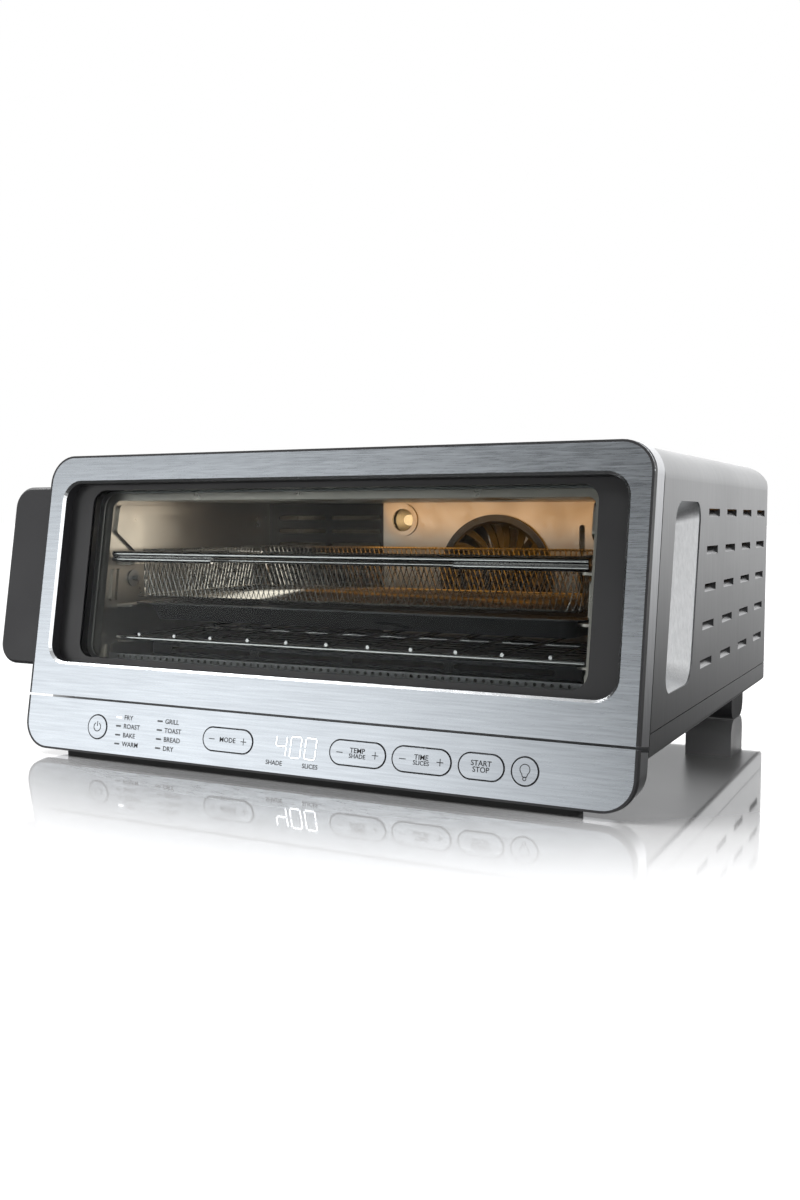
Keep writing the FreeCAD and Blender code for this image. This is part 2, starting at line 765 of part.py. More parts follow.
def liner_front(shape):
    """Trims a cavity wall to the back of the front frame."""
    return shape.cut(face_block(-HALF, HALF, -100, FRAME_BACK, -50, 320))


def raised_bead(points, width, height):
    """Bead pressed into a side wall along a bent line of (y, z) points, standing out by height."""
    x = -CAVITY_HALF
    pieces = []
    for (y0, z0), (y1, z1) in zip(points, points[1:]):
        length = math.dist((y0, z0), (y1, z1))
        bar = block(-0.2, height, 0, length, -width / 2, width / 2)
        angle = math.degrees(math.atan2(z1 - z0, y1 - y0))
        bar.rotate(V(0, 0, 0), V(1, 0, 0), angle)
        bar.translate(V(x, y0, z0))
        pieces.append(bar)
    for y, z in points:
        pieces.append(cylinder(width / 2, (x - 0.2, y, z), (x + height, y, z)))
    return fused(pieces)


def cavity_left_wall():
    """Left wall of the cavity with its pressed beads and the three rack ledges."""
    wall = block(-CAVITY_HALF - LINER, -CAVITY_HALF, 20, CAVITY_REAR, CAVITY_FLOOR - 1, CAVITY_CEILING)
    beads = [
        raised_bead([(268, 194.5), (67.5, 194.5), (64, 178), (88, 161)], 7.5, 3),
        raised_bead([(57, 144), (54, 122)], 4, 2.5),
        raised_bead([(64, 144), (61, 122)], 4, 2.5),
        raised_bead([(48, 83), (46.5, 75)], 4, 2.5),
        raised_bead([(55, 83), (53.5, 75)], 4, 2.5),
    ]
    ledges = [ledge(z) for z in (BASKET_LEDGE, PAN_LEDGE, RACK_LEDGE)]
    wall = liner_front(wall)
    holes = [
        cylinder(HEATER_R + 1.5, (-CAVITY_HALF - 3, y, z), (-CAVITY_HALF + 1, y, z))
        for y, z in LOWER_HEATERS
    ]
    holes.append(probe_bar(4.4, -CAVITY_HALF - 3, -CAVITY_HALF + 1))
    return cut_all(fused([wall] + beads + ledges), holes)


def ledge(top):
    """Rail that a rack slides on."""
    x0, x1 = -CAVITY_HALF - 0.2, -CAVITY_HALF + LEDGE_REACH
    return prism_z(x0, x1, LEDGE_FRONT, LEDGE_REAR, (0, 8, 8, 0), top - 2.0, top)


def cavity_right_wall():
    """Right wall, the left one's mirror image apart from the probe hole."""
    return mirrored(cavity_left_wall()).fuse(
        block(CAVITY_HALF, CAVITY_HALF + LINER, PROBE_Y - 5, PROBE_Y + 5, PROBE_Z - 5, PROBE_Z + 5)
    ).removeSplitter()


def cavity_ceiling():
    """Top wall of the cavity, with a row of air slots near each side."""
    z = CAVITY_CEILING
    sheet = liner_front(block(-CAVITY_HALF - LINER, CAVITY_HALF + LINER, 20, CAVITY_REAR, z, z + LINER))
    slots = []
    for x in (-152, -76, 0, 76, 152):
        for y in (84, 101, 118, 190, 207, 224):
            slots.append(prism_z(x - 32, x + 32, y, y + 9, (4.4,) * 4, z - 1, z + 3))
    return cut_all(sheet, slots)


def upper_reflector():
    """Shallow inverted tray over the slotted ceiling. It holds the upper elements."""
    half, low, high = CAVITY_HALF + LINER, CAVITY_CEILING + LINER, CAVITY_CEILING + 18
    outside = block(-half, half, 76, 238, low, high)
    inside = block(-half + LINER, half - LINER, 76 + LINER, 238 - LINER, low - 1, high - LINER)
    holes = []
    for y, z in UPPER_HEATERS:
        holes.append(cylinder(HEATER_R + 1.5, (-half - 2, y, z), (-half + 2, y, z)))
        holes.append(cylinder(HEATER_R + 1.5, (half - 2, y, z), (half + 2, y, z)))
    return cut_all(outside.cut(inside), holes)


def cavity_floor():
    """Bottom wall of the cavity."""
    z = CAVITY_FLOOR
    return liner_front(block(-CAVITY_HALF, CAVITY_HALF, 20, CAVITY_REAR, z - LINER, z))


def cavity_rear_wall():
    """Rear wall behind the fan, with the shaft hole."""
    wall = block(
        -CAVITY_HALF - LINER, CAVITY_HALF + LINER, CAVITY_REAR, CAVITY_REAR + LINER,
        CAVITY_FLOOR - 1, CAVITY_CEILING + 1)
    return wall.cut(cylinder(SHAFT_R + 3, (FAN_X, CAVITY_REAR - 2, FAN_Z), (FAN_X, CAVITY_REAR + 4, FAN_Z)))


def rear_baffle():
    """Inner rear panel in front of the fan, with its round opening, air slots and the lamp opening."""
    panel = block(DUCT_EDGE, CAVITY_HALF, BAFFLE_Y, BAFFLE_Y + LINER, CAVITY_FLOOR, CAVITY_CEILING)
    step = block(DUCT_EDGE, DUCT_EDGE + LINER, BAFFLE_Y, DUCT_Y + LINER, CAVITY_FLOOR, CAVITY_CEILING)
    cuts = [cylinder(GUARD_R - 8, (FAN_X, BAFFLE_Y - 2, FAN_Z), (FAN_X, BAFFLE_Y + 4, FAN_Z))]
    cuts.append(cylinder(LAMP_R, (LAMP_X, BAFFLE_Y - 2, LAMP_Z), (LAMP_X, BAFFLE_Y + 4, LAMP_Z)))
    for column in range(5):
        for z in (84, 120, 156):
            x = 124 + 16 * column
            cuts.append(prism_y(x - 2.5, x + 2.5, z, z + 26, (2.4,) * 4, BAFFLE_Y - 2, BAFFLE_Y + 4))
    return cut_all(fused([panel, step]), cuts)


def duct_grille():
    """Dark louvred panel at the rear left, set back behind the baffle, where the air returns."""
    panel = block(-CAVITY_HALF, DUCT_EDGE, DUCT_Y, DUCT_Y + LINER, CAVITY_FLOOR, CAVITY_CEILING)
    cuts = []
    for row in range(9):
        z = 82 + 13 * row
        cuts.append(prism_y(-194, -140, z, z + 4, (1.9,) * 4, DUCT_Y - 2, DUCT_Y + 4))
        cuts.append(prism_y(-134, -80, z, z + 4, (1.9,) * 4, DUCT_Y - 2, DUCT_Y + 4))
    return cut_all(panel, cuts)


def fan_guard():
    """Domed guard with swirl ribs in front of the fan."""
    y = BAFFLE_Y
    rim = ring(GUARD_R, GUARD_R - 6, (FAN_X, y - 3, FAN_Z), (FAN_X, y, FAN_Z))
    sphere_r, cap = 104.0, 11.2
    centre = V(FAN_X, y - 3 - cap + sphere_r, FAN_Z)
    dome = Part.makeSphere(sphere_r, centre).cut(Part.makeSphere(sphere_r - 1.6, centre))
    dome = dome.common(cylinder(GUARD_R - 5, (FAN_X, y - 30, FAN_Z), (FAN_X, y - 0.2, FAN_Z)))
    cuts = []
    for step in range(16):
        start = math.radians(step * 22.5)
        cuts.append(swirl_slot(start))
    hub_gap = Part.makeCompound(cuts)
    return fused([rim, dome]).cut(hub_gap)


def swirl_slot(start):
    """Curved slot from near the hub of the guard to its rim."""
    def at(radius, angle):
        return V(FAN_X + radius * math.cos(angle), BAFFLE_Y - 40, FAN_Z + radius * math.sin(angle))

    narrow, wide = math.radians(10), math.radians(13)
    turn = math.radians(38)
    inner0, inner1 = at(15, start), at(15, start + narrow)
    outer0, outer1 = at(GUARD_R - 8, start + turn), at(GUARD_R - 8, start + turn + wide)
    edge0 = Part.Arc(inner0, at(31, start + turn * 0.62), outer0).toShape()
    edge1 = Part.LineSegment(outer0, outer1).toShape()
    edge2 = Part.Arc(outer1, at(31, start + turn * 0.62 + math.radians(12)), inner1).toShape()
    edge3 = Part.LineSegment(inner1, inner0).toShape()
    return Part.Face(Part.Wire([edge0, edge1, edge2, edge3])).extrude(V(0, 38, 0))


def fan_rotor():
    """Fan wheel and shaft, turning about an axis along Y."""
    hub = cylinder(10, (FAN_X, 300, FAN_Z), (FAN_X, 326, FAN_Z))
    plate = cylinder(52, (FAN_X, 324, FAN_Z), (FAN_X, 326, FAN_Z))
    shaft = cylinder(SHAFT_R, (FAN_X, 318, FAN_Z), (FAN_X, CAVITY_REAR + 48, FAN_Z))
    blades = []
    for step in range(12):
        blade = block(8, 52, 304, 325, -0.8, 0.8)
        blade.rotate(V(30, 0, 0), V(0, 1, 0), 14)
        blade.rotate(V(0, 0, 0), V(0, 1, 0), 30 * step)
        blade.translate(V(FAN_X, 0, FAN_Z))
        blades.append(blade)
    return fused([hub, plate, shaft] + blades)


def fan_motor():
    """Fan motor on the back of the rear wall: a round can, a mounting plate and a bearing tube."""
    y = CAVITY_REAR + LINER
    plate = prism_y(FAN_X - 38, FAN_X + 38, FAN_Z - 38, FAN_Z + 38, (8,) * 4, y, y + 1.5)
    tube = cylinder(9, (FAN_X, y, FAN_Z), (FAN_X, y + 16, FAN_Z))
    can = cylinder(30, (FAN_X, y + 16, FAN_Z), (FAN_X, y + 52, FAN_Z))
    bore = cylinder(SHAFT_R + SHAFT_PLAY, (FAN_X, y - 1, FAN_Z), (FAN_X, y + 48, FAN_Z))
    clearance = cylinder(SHAFT_R + 1.5, (FAN_X, y - 1, FAN_Z), (FAN_X, y + 4, FAN_Z))
    return fused([plate, tube, can]).cut(bore).cut(clearance)


# ---------------- heaters, lamp, probe ----------------


def heater_rods(places):
    """Two straight tubular elements from wall to wall."""
    reach = CAVITY_HALF + 14
    return Part.makeCompound([cylinder(HEATER_R, (-reach, y, z), (reach, y, z)) for y, z in places])


def heater_bushings():
    """Ceramic bushing around each end of each element."""
    bushings = []
    for y, z in UPPER_HEATERS + LOWER_HEATERS:
        x0, x1 = CAVITY_HALF - 2, CAVITY_HALF + 9
        bushing = ring(HEATER_R + 1.5, HEATER_R, (x0, y, z), (x1, y, z))
        collar = ring(HEATER_R + 4, HEATER_R, (CAVITY_HALF + LINER, y, z), (x1 - 2, y, z))
        bushing = fused([bushing, collar])
        bushings += [bushing, mirrored(bushing)]
    return Part.makeCompound(bushings)


def element_guard():
    """Black slotted cover over the lower elements, with a tab to each side wall."""
    half = CAVITY_HALF - 17
    outside = block(-half, half, GUARD_FRONT, GUARD_REAR, GUARD_LOW, GUARD_TOP)
    inside = block(-half - 1, half + 1, GUARD_FRONT + 1, GUARD_REAR - 1, GUARD_LOW - 1, GUARD_TOP - 1)
    tabs = [
        block(sign * half, sign * CAVITY_HALF, y, y + 20, GUARD_TOP - 1, GUARD_TOP) if sign > 0
        else block(-CAVITY_HALF, -half, y, y + 20, GUARD_TOP - 1, GUARD_TOP)
        for sign in (-1, 1) for y in (100, 216)
    ]
    cuts = []
    for column in range(4):
        x = -168 + 86 * column
        for y in (96, 110, 146, 162, 178, 226):
            cuts.append(prism_z(x, x + 78, y, y + 8, (3.9,) * 4, GUARD_TOP - 3, GUARD_TOP + 1))
        cuts.append(prism_y(x, x + 78, 76.5, 81.0, (2,) * 4, GUARD_FRONT - 2, GUARD_FRONT + 3))
    return cut_all(fused([outside.cut(inside)] + tabs), cuts)


def probe_bar(r, x0, x1):
    """Round bar at the place of the temperature probe."""
    return cylinder(r, (x0, PROBE_Y, PROBE_Z), (x1, PROBE_Y, PROBE_Z))


def temperature_probe():
    """Temperature probe through the left wall, with its flanged bushing."""
    x = -CAVITY_HALF
    tip = probe_bar(2.2, x - 14, x + 7)
    bushing = probe_bar(4.4, x - 6, x + 1.2)
    flange = ring(7.0, 4.0, (x, PROBE_Y, PROBE_Z), (x + 1.6, PROBE_Y, PROBE_Z))
    return fused([bushing, tip, flange])


def lamp_housing():
    """Round lamp holder behind the baffle, with its flange in front."""
    cup = ring(LAMP_R, LAMP_R - 1.5, (LAMP_X, BAFFLE_Y - 1.5, LAMP_Z), (LAMP_X, BAFFLE_Y + 42, LAMP_Z))
    flange = ring(LAMP_R + 3, LAMP_R - 1.5, (LAMP_X, BAFFLE_Y - 1.5, LAMP_Z), (LAMP_X, BAFFLE_Y, LAMP_Z))
    base = cylinder(LAMP_R, (LAMP_X, BAFFLE_Y + 40, LAMP_Z), (LAMP_X, BAFFLE_Y + 48, LAMP_Z))
    return fused([cup, flange, base])


def lamp_bulb():
    """Small halogen bulb in the lamp holder."""
    body = cylinder(5.0, (LAMP_X, BAFFLE_Y + 12, LAMP_Z), (LAMP_X, BAFFLE_Y + 34, LAMP_Z))
    tip = Part.makeSphere(5.0, V(LAMP_X, BAFFLE_Y + 12, LAMP_Z))
    foot = cylinder(4.0, (LAMP_X, BAFFLE_Y + 34, LAMP_Z), (LAMP_X, BAFFLE_Y + 40, LAMP_Z))
    return fused([body, tip, foot])


def lamp_lens():
    """Domed glass lens in front of the bulb."""
    r = LAMP_R - 1.5
    sphere_r = 20.0
    centre = V(LAMP_X, BAFFLE_Y - 5 + sphere_r, LAMP_Z)
    dome = Part.makeSphere(sphere_r, centre).cut(Part.makeSphere(sphere_r - 2, centre))
    return dome.common(cylinder(r, (LAMP_X, BAFFLE_Y - 12, LAMP_Z), (LAMP_X, BAFFLE_Y + 2, LAMP_Z)))


# ---------------- electronics ----------------

def power_board():
    """Power board under the cavity, with its relay, choke, capacitor and terminal block."""
    board = block(-110, 40, 70, 200, 42, 43.6)
    parts = [
        block(-100, -72, 80, 100, 43.6, 60),
        block(-66, -38, 80, 100, 43.6, 60),
        block(-100, -76, 120, 156, 43.6, 62),
        cylinder(9, (-50, 140, 43.6), (-50, 140, 63)),
        cylinder(9, (-26, 140, 43.6), (-26, 140, 63)),
        block(0, 32, 84, 108, 43.6, 58),
        block(-10, 34, 160, 194, 43.6, 55),
    ]
    posts = [cylinder(3, (x, y, BODY_BOTTOM + SHEET), (x, y, 42)) for x in (-104, 34) for y in (76, 194)]
    return fused([board] + parts + posts)


# ---------------- racks ----------------


def basket_frame():
    """Chromed wire frame of the basket: a full hoop with a second rod at each front corner."""
    z = BASKET_LEDGE + RACK_GAP + ROD_R
    upper = z + 4.4
    side = CAVITY_HALF - 8
    reach = CAVITY_HALF - 3
    rods = [cylinder(ROD_R, (-reach, HOOP_Y, upper), (reach, HOOP_Y, upper))]
    for sign in (-1, 1):
        rods.append(cylinder(ROD_R, (sign * 104, HOOP_Y, z), (sign * reach, HOOP_Y, z)))
        rods.append(cylinder(SIDE_ROD_R, (sign * side, HOOP_Y, z), (sign * side, BASKET_REAR + 3, z)))
    for y in (BASKET_FRONT - 1.8, BASKET_REAR + 1.8):
        rods.append(cylinder(1.8, (-side, y, z), (side, y, z)))
    return fused(rods)


def basket_mesh():
    """Tray of fine steel mesh, drawn as a thin-walled box."""
    outside = prism_z(
        -BASKET_HALF, BASKET_HALF, BASKET_FRONT, BASKET_REAR, (14,) * 4, BASKET_LOW, BASKET_HIGH)
    inside = prism_z(
        -BASKET_HALF + 1.5, BASKET_HALF - 1.5, BASKET_FRONT + 1.5, BASKET_REAR - 1.5, (12.5,) * 4,
        BASKET_LOW + 1.5, BASKET_HIGH + 1)
    return outside.cut(inside)


def sheet_pan():
    """Dark sheet pan under the basket, with sloping walls and a flat rim that slides on its ledges."""
    rim_z = PAN_LEDGE + RACK_GAP
    top = rim_z + 1.2
    outer = Part.makeLoft([
        rounded_wire(-PAN_HALF, PAN_HALF, PAN_FRONT, PAN_REAR, (14,) * 4, lambda u, v: V(u, v, rim_z)),
        rounded_wire(
            -PAN_HALF + 5, PAN_HALF - 5, PAN_FRONT + 5, PAN_REAR - 5, (12,) * 4,
            lambda u, v: V(u, v, PAN_LOW))], True, True)
    inner = Part.makeLoft([
        rounded_wire(
            -PAN_HALF + 1.2, PAN_HALF - 1.2, PAN_FRONT + 1.2, PAN_REAR - 1.2, (13,) * 4,
            lambda u, v: V(u, v, top + 0.1)),
        rounded_wire(
            -PAN_HALF + 6.4, PAN_HALF - 6.4, PAN_FRONT + 6.4, PAN_REAR - 6.4, (11,) * 4,
            lambda u, v: V(u, v, PAN_LOW + 1.2))], True, True)
    side = CAVITY_HALF - 6
    rim = prism_z(-side, side, PAN_FRONT - 6, PAN_REAR + 6, (16,) * 4, rim_z, top)
    return fused([outer, rim]).cut(inner)


def wire_rack():
    """Chromed wire rack: a rod frame with cross wires running from front to rear."""
    z = RACK_LEDGE + RACK_GAP + ROD_R
    side = RACK_HALF - ROD_R - 4
    rods = [
        cylinder(ROD_R, (-RACK_HALF, RACK_FRONT + 3, z), (RACK_HALF, RACK_FRONT + 3, z)),
        cylinder(ROD_R, (-side, RACK_REAR - 3, z), (side, RACK_REAR - 3, z)),
        cylinder(ROD_R, (-side, (RACK_FRONT + RACK_REAR) / 2, z), (side, (RACK_FRONT + RACK_REAR) / 2, z)),
        cylinder(SIDE_ROD_R, (-side, RACK_FRONT + 3, z), (-side, RACK_REAR, z)),
        cylinder(SIDE_ROD_R, (side, RACK_FRONT + 3, z), (side, RACK_REAR, z)),
    ]
    wire_z = z + ROD_R + 0.8
    for step in range(RACK_WIRES):
        x = RACK_PITCH * (step - (RACK_WIRES - 1) / 2)
        rods.append(cylinder(1.4, (x, RACK_FRONT + 1, wire_z), (x, RACK_REAR - 1, wire_z)))
    return fused(rods)


def crumb_tray():
    """Crumb tray on the cavity floor, with a front lip that has a row of small holes."""
    half = CAVITY_HALF - 3
    sheet = block(-half, half, 47, 262, TRAY_LOW, TRAY_LOW + 1.0)
    lip = block(-half, half, 47, 48, TRAY_LOW, TRAY_LOW + 6.6)
    tray = fused([sheet, lip])
    holes = []
    count = 63
    for step in range(count):
        x = 6.2 * (step - (count - 1) / 2)
        holes.append(cylinder(1.3, (x, 45, TRAY_LOW + 4.2), (x, 50, TRAY_LOW + 4.2)))
    return cut_all(tray, holes)


# ---------------- export ----------------

def all_nodes():
    """Every piece by its node name."""
    nodes = {
        "door_face": door_face(),
        "door_backing": door_backing(),
        "door_frame": door_frame(),
        "door_glass_outer": door_glass_outer(),
        "door_glass_spacer": door_glass_spacer(),
        "door_glass_inner": door_glass_inner(),
        "door_inner_panel": door_inner_panel(),
        "door_handle": door_handle(),
        "handle_screws": handle_screws(),
        "hinge_pins": hinge_pins(),
        "hinge_brackets": hinge_brackets(),
        "outer_shell": outer_shell(),
        "grip_pocket_right": grip_pocket(),
        "grip_pocket_left": mirrored(grip_pocket()),
        "base_pan": base_pan(),
        "back_panel": back_panel(),
        "back_screws": back_screws(),
        "rear_bumpers": rear_bumpers(),
        "rear_feet": rear_feet(),
        "front_foot": front_foot(),
        "cord_gland": cord_gland(),
        "front_frame": front_frame(),
        "door_seal": door_seal(),
        "cavity_left_wall": cavity_left_wall(),
        "cavity_right_wall": cavity_right_wall(),
        "cavity_ceiling": cavity_ceiling(),
        "cavity_floor": cavity_floor(),
        "cavity_rear_wall": cavity_rear_wall(),
        "rear_baffle": rear_baffle(),
        "duct_grille": duct_grille(),
        "upper_reflector": upper_reflector(),
        "fan_guard": fan_guard(),
        "fan_rotor": fan_rotor(),
        "fan_motor": fan_motor(),
        "upper_heaters": heater_rods(UPPER_HEATERS),
        "lower_heaters": heater_rods(LOWER_HEATERS),
        "heater_bushings": heater_bushings(),
        "element_guard": element_guard(),
        "temperature_probe": temperature_probe(),
        "lamp_housing": lamp_housing(),
        "lamp_bulb": lamp_bulb(),
        "lamp_lens": lamp_lens(),
        "control_fascia": control_fascia(),
        "control_backing": control_backing(),
        "control_housing": control_housing(),
        "display_module": display_module(),
        "indicator_lights": indicator_lights(),
        "control_board": control_board(),
        "power_board": power_board(),
        "basket_frame": basket_frame(),
        "basket_mesh": basket_mesh(),
        "sheet_pan": sheet_pan(),
        "wire_rack": wire_rack(),
        "crumb_tray": crumb_tray(),
        "button_power": round_button(POWER_X),
        "button_light": round_button(LIGHT_X),
        "button_start": pill_button(*START_PLACE, (0,), 0.3),
    }
    for name, (x, half_width) in PILL_PLACES.items():
        nodes["rocker_" + name] = rocker(x, half_width)
    return nodes


def main():
    """Writes one STEP file for each node, in the finished frame."""
    os.makedirs("parts", exist_ok=True)
    for name, shape in all_nodes().items():
        placed = shape.copy()
        placed.translate(V(0, -FOOT_MIDDLE, 0))
        placed.exportStep("parts/" + name + ".step")


main()
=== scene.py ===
import bpy
import json
import math
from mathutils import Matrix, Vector


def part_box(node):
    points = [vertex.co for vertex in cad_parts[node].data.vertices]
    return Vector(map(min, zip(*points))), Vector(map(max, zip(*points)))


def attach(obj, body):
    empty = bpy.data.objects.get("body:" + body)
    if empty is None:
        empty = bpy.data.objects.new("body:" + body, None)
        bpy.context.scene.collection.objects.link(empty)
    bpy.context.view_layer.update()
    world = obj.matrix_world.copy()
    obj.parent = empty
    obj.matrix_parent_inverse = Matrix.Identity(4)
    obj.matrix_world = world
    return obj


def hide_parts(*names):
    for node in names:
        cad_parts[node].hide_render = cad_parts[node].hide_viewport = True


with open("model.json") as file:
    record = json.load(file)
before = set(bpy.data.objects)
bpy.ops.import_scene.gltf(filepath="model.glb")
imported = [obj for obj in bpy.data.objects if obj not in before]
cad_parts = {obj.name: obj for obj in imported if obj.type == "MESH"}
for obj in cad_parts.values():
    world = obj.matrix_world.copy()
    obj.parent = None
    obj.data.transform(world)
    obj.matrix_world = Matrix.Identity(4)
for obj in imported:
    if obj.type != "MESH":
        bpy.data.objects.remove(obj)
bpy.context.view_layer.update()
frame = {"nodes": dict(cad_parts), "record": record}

# ---- the front's own axes, in metres, as the CAD part has them ----
LEAN = math.radians(9.75)
FOOT_MIDDLE = 0.014
FACE_BOTTOM = 0.005


def on_face(x, depth, up):
    """Point behind the leaning front: across, depth behind the face, height up the face."""
    y = depth * math.cos(LEAN) + up * math.sin(LEAN) - FOOT_MIDDLE
    z = FACE_BOTTOM + up * math.cos(LEAN) - depth * math.sin(LEAN)
    return Vector((x, y, z))


# ---------------- materials ----------------

def new_material(name, colour, metallic, roughness):
    """Plain material. Gives the material, its node tree and its Principled shader."""
    material = bpy.data.materials.new(name)
    material.use_nodes = True
    tree = material.node_tree
    shader = tree.nodes["Principled BSDF"]
    shader.inputs["Base Color"].default_value = (*colour, 1)
    shader.inputs["Metallic"].default_value = metallic
    shader.inputs["Roughness"].default_value = roughness
    return material, tree, shader


def add_noise(tree, scale, detail, stretch=(1, 1, 1)):
    """Noise in object space, stretched along an axis by a small scale there. Gives its output."""
    place = tree.nodes.new("ShaderNodeTexCoord")
    mapping = tree.nodes.new("ShaderNodeMapping")
    noise = tree.nodes.new("ShaderNodeTexNoise")
    mapping.inputs["Scale"].default_value = stretch
    noise.inputs["Scale"].default_value = scale
    noise.inputs["Detail"].default_value = detail
    tree.links.new(place.outputs["Object"], mapping.inputs["Vector"])
    tree.links.new(mapping.outputs["Vector"], noise.inputs["Vector"])
    return noise.outputs["Fac"]


def map_range(tree, value, low, high, start, end, smooth=False):
    """Maps a value between start and end to the range from low to high."""
    node = tree.nodes.new("ShaderNodeMapRange")
    if smooth:
        node.interpolation_type = "SMOOTHSTEP"
    node.inputs["From Min"].default_value = start
    node.inputs["From Max"].default_value = end
    node.inputs["To Min"].default_value = low
    node.inputs["To Max"].default_value = high
    tree.links.new(value, node.inputs["Value"])
    return node.outputs["Result"]


def spread(tree, noise, low, high):
    """Spreads a noise value over the range from low to high."""
    return map_range(tree, noise, low, high, start=0.3, end=0.7)


def add_values(tree, first, second):
    """Sum of two values."""
    node = tree.nodes.new("ShaderNodeMath")
    node.operation = "ADD"
    tree.links.new(first, node.inputs[0])
    tree.links.new(second, node.inputs[1])
    return node.outputs[0]


def add_bump(tree, shader, height, strength):
    """Bump from a height value."""
    bump = tree.nodes.new("ShaderNodeBump")
    bump.inputs["Strength"].default_value = strength
    bump.inputs["Distance"].default_value = 0.0001
    tree.links.new(height, bump.inputs["Height"])
    tree.links.new(bump.outputs["Normal"], shader.inputs["Normal"])


def tint(tree, shader, value, dark, light):
    """Colour of the shader between dark and light, by a value."""
    mix = tree.nodes.new("ShaderNodeMix")
    mix.data_type = "RGBA"
    mix.inputs["A"].default_value = (*dark, 1)
    mix.inputs["B"].default_value = (*light, 1)
    tree.links.new(value, mix.inputs["Factor"])
    tree.links.new(mix.outputs["Result"], shader.inputs["Base Color"])


def stretched(along, slow, fast):
    """Noise scales that are slow along the given axes and fast across them."""
    return tuple(slow if axis in along else fast for axis in "xyz")


def brushed_steel(name, dark, light, along, roughness, grain):
    """Steel with short brush lines along the given axes, handling marks in its gloss and faint streaks."""
    material, tree, shader = new_material(name, light, 1.0, roughness)
    lines = add_noise(tree, scale=1.0, detail=3, stretch=stretched(along, slow=60, fast=1500))
    streaks = add_noise(tree, scale=1.0, detail=2, stretch=stretched(along, slow=25, fast=700))
    smudges = add_noise(tree, scale=9.0, detail=3)
    both = add_values(tree, lines, streaks)
    tint(tree, shader, map_range(tree, both, low=0, high=1, start=0.75, end=1.25), dark, light)
    smudged = spread(tree, smudges, roughness - 0.015, roughness + 0.015)
    rough = add_values(tree, smudged, spread(tree, lines, -0.04, 0.04))
    tree.links.new(rough, shader.inputs["Roughness"])
    add_bump(tree, shader, lines, grain)
    return material


def plain_metal(name, colour, roughness, wear=0.06):
    """Sheet or wire metal with an uneven gloss and a slightly uneven colour."""
    material, tree, shader = new_material(name, colour, 1.0, roughness)
    cloud = add_noise(tree, scale=45.0, detail=4)
    tree.links.new(spread(tree, cloud, roughness - wear, roughness + wear), shader.inputs["Roughness"])
    dark = tuple(c * 0.86 for c in colour)
    tint(tree, shader, spread(tree, add_noise(tree, scale=14.0, detail=3), 0, 1), dark, colour)
    return material


def moulded_plastic(name, colour, roughness, texture=0.12):
    """Moulded plastic or rubber with a fine eroded texture."""
    material, tree, shader = new_material(name, colour, 0.0, roughness)
    grit = add_noise(tree, scale=1600.0, detail=2)
    cloud = add_noise(tree, scale=30.0, detail=3)
    tree.links.new(spread(tree, cloud, roughness - 0.05, roughness + 0.06), shader.inputs["Roughness"])
    add_bump(tree, shader, grit, texture)
    return material


def enamel(name, colour, roughness):
    """Dark non-stick or enamel coating, slightly uneven, with faint rub marks."""
    material, tree, shader = new_material(name, colour, 0.0, roughness)
    rubs = add_noise(tree, scale=1.0, detail=3, stretch=stretched("x", slow=25, fast=160))
    tree.links.new(spread(tree, rubs, roughness - 0.03, roughness + 0.05), shader.inputs["Roughness"])
    add_bump(tree, shader, add_noise(tree, scale=900.0, detail=2), 0.03)
    shader.inputs["Coat Weight"].default_value = 0.25
    shader.inputs["Coat Roughness"].default_value = 0.15
    return material


def pane_glass(name, tone, gloss):
    """Clear pane: light passes straight through, and a part is reflected by the angle."""
    material = bpy.data.materials.new(name)
    material.use_nodes = True
    tree = material.node_tree
    tree.nodes.remove(tree.nodes["Principled BSDF"])
    clear = tree.nodes.new("ShaderNodeBsdfTransparent")
    clear.inputs["Color"].default_value = (*tone, 1)
    shine = tree.nodes.new("ShaderNodeBsdfGlossy")
    shine.inputs["Roughness"].default_value = 0.02
    shine.inputs["Color"].default_value = (gloss, gloss, gloss, 1)
    fresnel = tree.nodes.new("ShaderNodeFresnel")
    fresnel.inputs["IOR"].default_value = 1.3
    mix = tree.nodes.new("ShaderNodeMixShader")
    tree.links.new(fresnel.outputs["Fac"], mix.inputs["Fac"])
    tree.links.new(clear.outputs["BSDF"], mix.inputs[1])
    tree.links.new(shine.outputs["BSDF"], mix.inputs[2])
    tree.links.new(mix.outputs["Shader"], tree.nodes["Material Output"].inputs["Surface"])
    return material


def lit(name, colour, strength):
    """Plain material that gives light."""
    material, _, shader = new_material(name, colour, 0.0, 0.4)
    shader.inputs["Emission Color"].default_value = (*colour, 1)
    shader.inputs["Emission Strength"].default_value = strength
    return material


